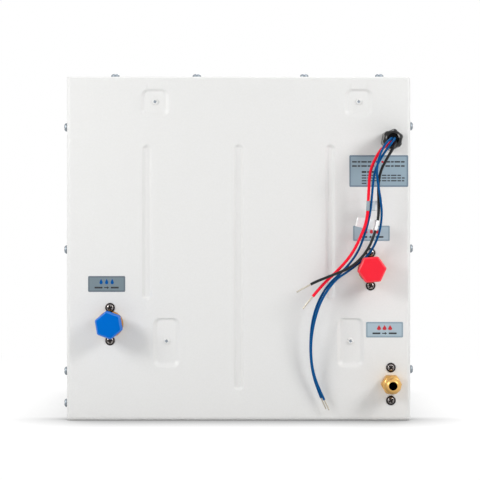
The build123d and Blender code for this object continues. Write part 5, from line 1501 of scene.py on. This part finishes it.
@dataclass(frozen=True)
class Flag:
    """Adhesive film folded round a wire, its two ends stuck together as a flag.

    Attributes:
        node: the solid that it stands for.
        length: how far the free edge is from the wire's middle.
        height: its size along the wire.
        side: 1 when it points to the right, -1 to the left.
        lean: angle out of the cabinet's plane, in radians.
        printed: how far from the wire the film's print reaches.
        finishes: finishes round the wire, which is painted shade on the red wire's flag, where it is printed,
            and further out.
        film: thickness of the film.
        half_gap: half the distance between the middles of the two layers.
        slack: distance from the wire to the middle of the film round it.
    """

    node: str
    length: float
    height: float
    side: int
    lean: float
    printed: float
    finishes: tuple[Finish, Finish, Finish]
    film: float = 0.09
    half_gap: float = 0.06
    slack: float = 0.14

    def build(self, line: np.ndarray, radius: float) -> bpy.types.Object:
        """Carry the film's section along the wire over the flag's height.

        The section runs from the free edge to the wire, round it, and back.

        Args:
            line: points of the wire's line.
            radius: the wire's radius.

        Returns:
            The flag.
        """
        middle = centre_of(self.node)
        off = np.abs(line[:, 2] - middle[2]) + 0.2 * np.abs(line[:, 0] - middle[0])
        nearest = int(np.argmin(off))
        centre = line[nearest]
        along = line[min(nearest + 4, len(line) - 1)] - line[max(nearest - 4, 0)]
        along /= np.linalg.norm(along)
        reach = np.array([self.side * math.cos(self.lean), math.sin(self.lean), 0.0])
        reach -= along * reach.dot(along)
        reach /= np.linalg.norm(reach)
        normal = np.cross(along, reach)
        loop = radius + self.slack
        open_angle = math.asin(self.half_gap / loop)
        arc = np.linspace(open_angle, 2 * math.pi - open_angle, 36)
        out = np.append(np.linspace(self.length, self.printed, 8), np.linspace(self.printed, loop, 7)[1:])
        gap = np.full(len(out), self.half_gap)
        section = np.vstack([
            np.column_stack([out, gap]),
            np.column_stack([loop * np.cos(arc), loop * np.sin(arc)]),
            np.column_stack([out[::-1], -gap]),
        ])
        middles = (section[1:, 0] + section[:-1, 0]) / 2
        # Zone 0 lies round the wire; on the red wire's flag its darker finish is painted shade.
        zones = np.where(middles < loop, 0, np.where(middles < self.printed, 1, 2))
        rows = np.linspace(-self.height / 2, self.height / 2, 9)
        flat = section[:, :1] * reach + section[:, 1:] * normal
        points = centre + rows[:, None, None] * along + flat[None]
        shell = Shell(points.reshape(-1, 3), grid_quads(len(rows), len(section), False))
        shell.zones = np.tile(zones, len(rows) - 1)
        made = show(self.node + "_film", shell, self.finishes, "cabinet", self.node)
        thick = made.modifiers.new("film", "SOLIDIFY")
        thick.thickness = self.film * MM
        thick.offset = 0.0
        return made


@dataclass
class Wiring:
    """The four wires and the two flags.

    Attributes:
        wires: the wires.
        flags: name of a wire and the flag round it.
    """

    wires: tuple[Wire, ...] = (
        Wire("wire_blue_right", 2.2, 10.6, 304.4, BLUE_PVC, (
            (-1.0, 0.0, 0.9), (-1.0, 9.4, 0.9), (-2.6, 13.6, -0.1), (-6.0, 16.8, -3.1), (-9.8, 18.4, -7.8),
            (-13.5, 18.0, -16.5), (-16.0, 14.0, -29.5), (-13.5, 8.0, -44.5), (-10.5, 2.8, -59.0),
            (-9.5, -2.4, -73.0), (-12.0, -7.6, -89.5), (-20.0, -9.8, -106.0), (-30.5, -9.2, -115.0),
            (-41.0, -4.6, -122.5), (-53.5, 0.4, -130.5), (-65.5, 1.4, -147.5), (-72.0, -0.8, -166.5),
            (-75.5, -4.0, -188.0), (-74.5, -7.2, -210.5), (-69.0, -9.6, -229.5), (-58.0, -11.6, -252.0),
        )),
        Wire("wire_blue_left", 2.2, 11.2, 290.8, BLUE_PVC, (
            (1.6, 0.0, 0.9), (1.6, 8.8, 0.9), (0.7, 12.9, -0.5), (-1.5, 15.9, -3.4), (-5.1, 16.9, -7.8),
            (-10.2, 15.4, -15.2), (-17.5, 11.2, -29.0), (-19.0, 6.4, -47.0), (-20.5, 3.4, -67.5),
            (-25.0, 1.2, -86.5), (-32.0, -2.2, -105.5), (-44.5, -5.2, -121.5), (-58.0, -5.2, -133.0),
            (-68.0, -3.2, -148.5), (-74.0, -3.6, -166.5), (-76.0, -6.6, -188.0), (-75.0, -9.6, -210.0),
            (-70.0, -11.8, -230.5), (-61.0, -12.6, -251.0),
        )),
        Wire("wire_red", 2.8, 14.7, 194.0, RED_PVC, (
            (-0.6, 0.0, -2.4), (-0.6, 7.6, -2.4), (-2.0, 11.4, -3.3), (-6.0, 13.5, -5.8), (-11.5, 13.4, -9.8),
            (-16.2, 11.6, -17.2), (-21.5, 8.2, -29.5), (-22.5, 6.4, -49.0), (-23.5, 4.8, -74.0),
            (-29.0, 3.4, -89.0), (-37.5, 2.0, -106.5), (-50.5, 0.8, -121.5), (-67.0, 0.4, -136.5),
            (-83.0, 1.0, -157.0),
        )),
        Wire("wire_black", 2.6, 14.9, 196.4, BLACK_PVC, (
            (2.2, 0.0, -2.1), (2.2, 7.8, -2.1), (1.8, 11.5, -3.9), (0.4, 14.0, -7.0), (-2.4, 14.2, -11.9),
            (-6.5, 11.8, -19.0), (-12.0, 6.6, -30.5), (-13.5, 1.4, -44.0), (-12.0, -0.8, -70.0),
            (-18.0, 2.8, -92.5), (-27.0, 3.8, -108.5), (-40.0, 4.4, -119.5), (-58.0, 4.8, -126.5),
            (-74.5, 4.8, -133.0), (-89.0, 4.5, -141.5),
        )),
    )
    flags: tuple[tuple[str, Flag], ...] = (
        ("wire_red", Flag("tag_red_wire", 17.0, 9.0, 1, math.radians(31), 8.5,
                          (FILM_PAINTED_SHADE, GREY_FILM, WHITE_FILM))),
        ("wire_black", Flag("tag_black_wire", 19.5, 9.6, -1, math.radians(9), 9.0, (WHITE_FILM,) * 3)),
    )

    def build(self) -> None:
        """Make the wires and flags."""
        low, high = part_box("gland_seal")
        seal = np.array([(low[0] + high[0]) / 2, low[1], (low[2] + high[2]) / 2]) / MM
        flags = dict(self.flags)
        for wire in self.wires:
            made, line = wire.build(seal)
            pieces = [flags[wire.node].build(line, wire.diameter / 2)] if wire.node in flags else []


# ---- labels -----------------------------------------------------------------
class Icon(Enum):
    """Pictograms that the labels carry."""

    DROP = "drop"
    FLAME = "flame"
    INWARD = "inward"
    OUTWARD = "outward"
    DOT = "dot"
    BAR = "bar"


# Corners of an arrow that points to the right, in halves of its size.
ARROW = ((-1.4, -0.28), (0.2, -0.28), (0.2, -0.8), (1.4, 0), (0.2, 0.8), (0.2, 0.28), (-1.4, 0.28))


@dataclass(frozen=True)
class Mark:
    """One pictogram on a label.

    Attributes:
        icon: which one.
        across: place of its middle across, from the label's middle.
        up: place of its middle up, from the label's middle.
        size: its height, or a bar's length.
        ink: finish of its print.
        thick: a bar's height.
    """

    icon: Icon
    across: float
    up: float
    size: float
    ink: Finish
    thick: float = 1.0

    def outline(self) -> np.ndarray:
        """Closed outline of the pictogram about its middle.

        A drop is as high as the cosine of the angle and as wide as its sine, times a
        power of the sine of half the angle, which closes it to a point at the top.  A
        flame is a drop that sways with the sine of twice the angle.

        Returns:
            Pairs of across and up, anticlockwise.
        """
        turn = np.linspace(0, 2 * math.pi, 40, endpoint=False)
        half = self.size / 2
        if self.icon is Icon.DOT:
            return half * np.stack([np.cos(turn), np.sin(turn)], axis=-1)
        if self.icon is Icon.BAR:
            return rounded_rectangle(self.size, self.thick, 0.3, 4)
        if self.icon in (Icon.DROP, Icon.FLAME):
            sway = 0.22 * np.sin(2 * turn) if self.icon is Icon.FLAME else 0.0
            across = sway * np.sin(turn / 2) - 0.8 * np.sin(turn) * np.sin(turn / 2) ** 1.4
            return half * np.stack([across, np.cos(turn)], axis=-1)
        return np.array(ARROW) * half * (1 if self.icon is Icon.INWARD else -1)


@dataclass(frozen=True)
class Label:
    """Thin film on the cover: an edge line around a plain ground, with pictograms.

    Attributes:
        name: the label's name.
        x: place of its middle across.
        z: place of its middle up.
        width: its width.
        height: its height.
        ground: finish of the ground.
        ink: finish of the edge line.
        marks: the pictograms.
        thickness: height of the film's front over the cover.
        layer: how much higher each layer lies than the one under it.
        edge: width of the edge line.
        radius: radius of the film's corners.
    """

    name: str
    x: float
    z: float
    width: float
    height: float
    ground: Finish
    ink: Finish
    marks: tuple[Mark, ...]
    thickness: float = 0.16
    layer: float = 0.02
    edge: float = 1.4
    radius: float = 1.0

    def build(self) -> None:
        """Lay edge, ground and marks over each other, each a little higher."""
        place = rear_place().shifted(self.x, self.z)
        outer = rounded_rectangle(self.width, self.height, self.radius)
        show(f"label_{self.name}", slab(place, outer, self.layer, self.thickness), self.ink, "cabinet")
        both = 2 * self.edge
        inner = rounded_rectangle(self.width - both, self.height - both, 0.6 * self.radius)
        ground = sheet_face(place, inner, self.thickness + self.layer)
        show(f"label_{self.name}_ground", ground, self.ground, "cabinet")
        top = self.thickness + 2 * self.layer
        for name, ink in {mark.ink.name: mark.ink for mark in self.marks}.items():
            printed = joined([
                sheet_face(place.shifted(mark.across, mark.up), mark.outline(), top)
                for mark in self.marks if mark.ink is ink
            ])
            show(f"label_{self.name}_{name}", printed, ink, "cabinet")


def dashes(start: float, end: float, up: float, thick: float = 1.1) -> list[Mark]:
    """Row of dashes that stands for a printed line, its lengths in a fixed turn.

    Args:
        start: where the row begins, from the label's middle.
        end: where it ends.
        up: its height on the label.
        thick: height of the dashes.

    Returns:
        One bar for each dash.
    """
    lengths = (4.4, 2.6, 5.2, 3.4)
    space = 0.8
    marks = []
    at = start
    while at < end - 1.0:
        long = min(lengths[len(marks) % len(lengths)], end - at)
        marks.append(Mark(Icon.BAR, at + long / 2, up, long, BLACK_INK, thick))
        at += long + space
    return marks


def wiring_marks() -> tuple[Mark, ...]:
    """Two rows of terminals in the wires' colours, with dashes beside them and below.

    Returns:
        All the marks of the label.
    """
    marks = []
    for up, left, right, end in ((8.6, BLUE_INK, RED_INK, 24.3), (4.7, BLUE_INK, BLACK_INK, 25.4)):
        marks += [Mark(Icon.DOT, -1.7, up, 2.1, left), Mark(Icon.DOT, 3.4, up, 2.1, right)]
        marks += dashes(-25.0, -4.2, up, 1.4) + dashes(6.2, end, up, 1.4)
    marks += dashes(-16.0, -4.2, -0.9, 1.8)
    for up, end in ((-4.0, 21.4), (-6.5, 24.3), (-9.1, 23.9), (-11.5, -10.0)):
        marks += dashes(-16.0, end, up)
    return tuple(marks)


def connection_marks(kind: Icon, way: Icon, ink: Finish) -> tuple[Mark, ...]:
    """Three pictograms of the medium over an arrow between two bars.

    Args:
        kind: what flows, as a drop or a flame.
        way: the arrow that shows which way it flows.
        ink: finish of the three pictograms.

    Returns:
        All the marks of one label.
    """
    signs = [Mark(kind, 5.2 * n, 2.3, 5.2, ink) for n in (-1, 0, 1)]
    bars = [Mark(Icon.BAR, 7.6 * side, -3.4, 7.4, BLACK_INK, 1.6) for side in (-1, 1)]
    return (*signs, *bars, Mark(way, 0.0, -3.4, 3.4, BLACK_INK))


LABELS = (
    Label("wiring", 131.2, 233.4, 55.0, 29.6, LABEL_MID, MID_EDGE, wiring_marks()),
    Label("hot", 124.3, 175.1, 34.3, 14.3, LABEL_LIGHT, LIGHT_EDGE,
          connection_marks(Icon.DROP, Icon.OUTWARD, RED_INK)),
    Label("cold", -123.5, 127.7, 34.7, 14.8, LABEL_DARK, DARK_EDGE,
          connection_marks(Icon.DROP, Icon.INWARD, BLUE_INK)),
    Label("gas", 136.6, 84.9, 34.6, 14.5, LABEL_LIGHT, LIGHT_EDGE,
          connection_marks(Icon.FLAME, Icon.INWARD, RED_INK)),
)


# ---- finishes of the solids that stay ---------------------------------------
SOLID_FINISHES = {
    POWDER_COAT: ("case_wrap", "top_plate", "front_frame", "door_panel"),
    ZINC_PLATE: ("latch_cam", "hinge_pins"),
    TURNED_BRASS: ("flow_sensor_body", "drain_plug"),
    CAST_ALLOY: ("gas_valve", "gas_manifold"),
    BLACK_NYLON: ("gland_locknut", "overheat_switch", "valve_coils", "switch_bezel", "switch_rocker",
                  "latch_bezel", "latch_knob"),
    BLACK_RUBBER: ("gland_seal",),
    BARE_COPPER: ("combustion_chamber", "fin_pack", "water_tubes", "inlet_pipe", "outlet_pipe"),
    GALVANISED: ("exhaust_hood", "burner_tray", "core_brackets", "fan_housing", "fan_impeller", "gas_pipe"),
    BRUSHED_STEEL: ("burner_bars", "outlet_thermistor", "outlet_grille", "hinge_frame_leaves",
                    "hinge_door_leaves"),
    CERAMIC: ("electrodes",),
    BLACK_ENAMEL: ("fan_motor",),
    WHITE_ACETAL: ("flow_turbine",),
    GREY_ABS: ("control_box", "control_cover", "igniter"),
    GREEN_BOARD: ("circuit_board",),
}


def dress_solids(nodes: dict[str, bpy.types.Object]) -> None:
    """Give each solid that stays its finish.

    Args:
        nodes: the solids by name.
    """
    for finish, names in SOLID_FINISHES.items():
        for name in names:
            slots = nodes[name].material_slots
            if not slots:
                nodes[name].data.materials.append(finish.material())
            for slot in slots:
                slot.material = finish.material()
            LOG.info("%s: %s", name, finish.name)


# ---- studio -----------------------------------------------------------------
@dataclass(frozen=True)
class Softbox:
    """Square lamp.

    Attributes:
        name: the lamp's name.
        place: where it stands, in metres.
        size: its width and height, in metres.
        power: its power in watts.
    """

    name: str
    place: tuple[float, float, float]
    size: float
    power: float


@dataclass
class Studio:
    """White floor and surroundings, soft lamps, and a long lens square to the rear side.

    Attributes:
        distance: from the camera to the rear face, in millimetres.
        pixel: width of a pixel on the rear face, in millimetres.
        frame_pixels: width and height of the render.
        middle_x: place of the camera across, in millimetres.
        middle_z: height of the camera, in millimetres.
        horizon_pixel: row of the render, from the top, at the camera's height.
        sensor: width of the camera's sensor, in millimetres.
        target: point that the lamps face, in metres.
        lamps: the lamps.
        ambient: strength of the even light on the heater.
        floor_half: half the width of the floor, in millimetres.
        floor_drop: how far the floor lies under the heater, in millimetres.
        white_from: distance from the middle at which the floor begins to fade, in metres.
        white_by: distance at which it is plain white, in metres.
        contact: reach of the shadow where the heater stands, in metres.
        contact_depth: power of that shadow before the rear side.
        side_depth: power of that shadow further back.
        side_from: place along Y at which that begins, in metres.
        floor_lit: share of the lamps' light that the floor shows.
        floor_glow: its own light, which makes up for the rest.
    """

    distance: float = 1650.0
    pixel: float = 0.936
    frame_pixels: int = 480
    middle_x: float = 1.31
    middle_z: float = 172.6
    horizon_pixel: float = 236.0
    sensor: float = 36.0
    target: tuple[float, float, float] = (0.0, 0.0, 0.16)
    lamps: tuple[Softbox, ...] = (
        Softbox("lamp_left", (-0.80, -0.72, 0.55), 0.35, 5.05),
        Softbox("lamp_right", (0.80, -0.72, 0.62), 0.35, 5.05),
        Softbox("lamp_top", (0.0, 0.35, 2.2), 0.9, 12.0),
        Softbox("lamp_door", (0.4, 1.9, 1.2), 0.9, 12.0),
    )
    ambient: float = 0.305
    floor_half: float = 6000.0
    floor_drop: float = 0.05
    white_from: float = 0.3
    white_by: float = 0.8
    contact: float = 0.07
    contact_depth: float = 1.25
    side_depth: float = 0.3
    side_from: float = -0.12
    floor_lit: float = 0.2
    floor_glow: float = 0.86

    def camera(self) -> None:
        """Camera that looks along +Y from in front of the rear side."""
        data = bpy.data.cameras.new("camera")
        data.sensor_width = self.sensor
        data.lens = self.sensor * self.distance / (self.pixel * self.frame_pixels)
        data.shift_y = (self.horizon_pixel - self.frame_pixels / 2) / self.frame_pixels
        made = bpy.data.objects.new("camera", data)
        y = rear_place().origin[1] - self.distance
        made.location = (self.middle_x * MM, y * MM, self.middle_z * MM)
        made.rotation_euler = (math.pi / 2, 0, 0)
        bpy.context.scene.collection.objects.link(made)
        bpy.context.scene.camera = made

    def lights(self) -> None:
        """Soft square lamps that face the heater's middle."""
        for lamp in self.lamps:
            data = bpy.data.lights.new(lamp.name, "AREA")
            data.shape = "SQUARE"
            data.size = lamp.size
            data.energy = lamp.power
            made = bpy.data.objects.new(lamp.name, data)
            made.location = lamp.place
            x, y, z = np.array(self.target) - np.array(lamp.place)
            made.rotation_euler = (math.atan2(math.hypot(x, y), -z), 0, math.atan2(y, x) - math.pi / 2)
            bpy.context.scene.collection.objects.link(made)

    def seen(self, tree: bpy.types.NodeTree) -> bpy.types.NodeSocket:
        """A value that tells the rays that are seen from those that light things.

        Args:
            tree: the node tree that gets the nodes.

        Returns:
            1 on rays from the camera, mirrors and glass, and 0 on the rest.
        """
        path = add(tree, "ShaderNodeLightPath").outputs
        value = path["Is Camera Ray"]
        for other in ("Is Glossy Ray", "Is Transmission Ray"):
            value = add(tree, "ShaderNodeMath", {0: value, 1: path[other]}, operation="MAXIMUM").outputs[0]
        return value

    def world(self) -> None:
        """White to the eye, with a lower even light on the heater."""
        world = bpy.data.worlds.new("surroundings")
        world.use_nodes = True
        tree = world.node_tree
        tree.nodes.clear()
        strength = add(
            tree, "ShaderNodeMapRange", {"Value": self.seen(tree), "To Min": self.ambient, "To Max": 1.0}
        )
        light = add(
            tree, "ShaderNodeBackground", {"Color": (1, 1, 1, 1), "Strength": strength.outputs["Result"]}
        )
        add(tree, "ShaderNodeOutputWorld", {"Surface": light.outputs["Background"]})
        bpy.context.scene.world = world

    def shaded(self, tree: bpy.types.NodeTree, place: bpy.types.NodeSocket) -> bpy.types.NodeSocket:
        """The floor near the heater: partly lit and partly glowing.

        The share of the sky that near things hide, to a power, deepens the shadow where
        the heater stands: fully before the rear side and less beside and behind it.

        Args:
            tree: the node tree that gets the nodes.
            place: the floor's object coordinates.

        Returns:
            The shader.
        """
        axes = add(tree, "ShaderNodeSeparateXYZ", {0: place})
        depth = add(
            tree, "ShaderNodeMapRange",
            {"Value": axes.outputs["Y"], "From Min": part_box("rear_cover")[0][1], "From Max": self.side_from,
             "To Min": self.contact_depth, "To Max": self.side_depth},
            interpolation_type="SMOOTHSTEP",
        )
        hidden = add(tree, "ShaderNodeAmbientOcclusion", {"Distance": self.contact}, samples=32)
        sky = add(tree, "ShaderNodeMath", {0: hidden.outputs["AO"], 1: depth.outputs[0]}, operation="POWER")
        open_sky = add(tree, "ShaderNodeMath", {0: sky.outputs[0], 1: self.floor_glow}, operation="MULTIPLY")
        pale = add(
            tree, "ShaderNodeMix", {0: sky.outputs[0], 6: (0, 0, 0, 1), 7: (self.floor_lit,) * 3 + (1,)},
            data_type="RGBA",
        )
        near = add(tree, "ShaderNodeBsdfDiffuse", {"Color": pale.outputs[2]})
        glow = add(tree, "ShaderNodeEmission", {"Color": (1, 1, 1, 1), "Strength": open_sky.outputs[0]})
        return add(tree, "ShaderNodeAddShader", {0: near.outputs[0], 1: glow.outputs[0]}).outputs[0]

    def floor_material(self) -> bpy.types.Material:
        """Matte white paint to the light, and the shaded floor or plain white to the eye.

        Returns:
            The floor's material.
        """
        material = bpy.data.materials.new("matte_white_floor")
        material.use_nodes = True
        tree = material.node_tree
        tree.nodes.clear()
        matte = add(tree, "ShaderNodeBsdfDiffuse", {"Color": (0.8, 0.8, 0.8, 1)})
        place = add(tree, "ShaderNodeTexCoord").outputs["Object"]
        away = add(tree, "ShaderNodeVectorMath", {0: place}, operation="LENGTH")
        share = add(
            tree, "ShaderNodeMapRange",
            {"Value": away.outputs["Value"], "From Min": self.white_from, "From Max": self.white_by},
            interpolation_type="SMOOTHSTEP",
        )
        white = add(tree, "ShaderNodeEmission", {"Color": (1, 1, 1, 1), "Strength": 1.0})
        shown = add(
            tree, "ShaderNodeMixShader",
            {"Fac": share.outputs[0], 1: self.shaded(tree, place), 2: white.outputs[0]},
        )
        mixed = add(
            tree, "ShaderNodeMixShader", {"Fac": self.seen(tree), 1: matte.outputs[0], 2: shown.outputs[0]}
        )
        add(tree, "ShaderNodeOutputMaterial", {"Surface": mixed.outputs[0]})
        return material

    def floor(self) -> None:
        """Wide white floor: it keeps the heater's soft shadow and is plain white further off."""
        half = self.floor_half
        corners = np.array([(-half, -half), (half, -half), (half, half), (-half, half)])
        points = np.column_stack([corners, np.full(4, -self.floor_drop)])
        mesh = Shell(points, np.array([[0, 1, 2, 3]])).mesh("floor")
        made = bpy.data.objects.new("floor", mesh)
        made.data.materials.append(self.floor_material())
        bpy.context.scene.collection.objects.link(made)

    def build(self) -> None:
        """Set up camera, lamps, surroundings and floor."""
        bpy.context.scene.view_settings.view_transform = "Standard"
        self.camera()
        self.lights()
        self.world()
        self.floor()


def main() -> None:
    """Build the studio and every sub-assembly."""
    logging.basicConfig(level=logging.INFO, format="%(message)s")
    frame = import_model()
    Studio().build()
    dress_solids(frame["nodes"])
    cover = PressedCover()
    cover.build()
    Screws().build(cover)
    Connections().build()
    Gland().build()
    Wiring().build()
    for label in LABELS:
        label.build()


if __name__ == "__main__":
    main()
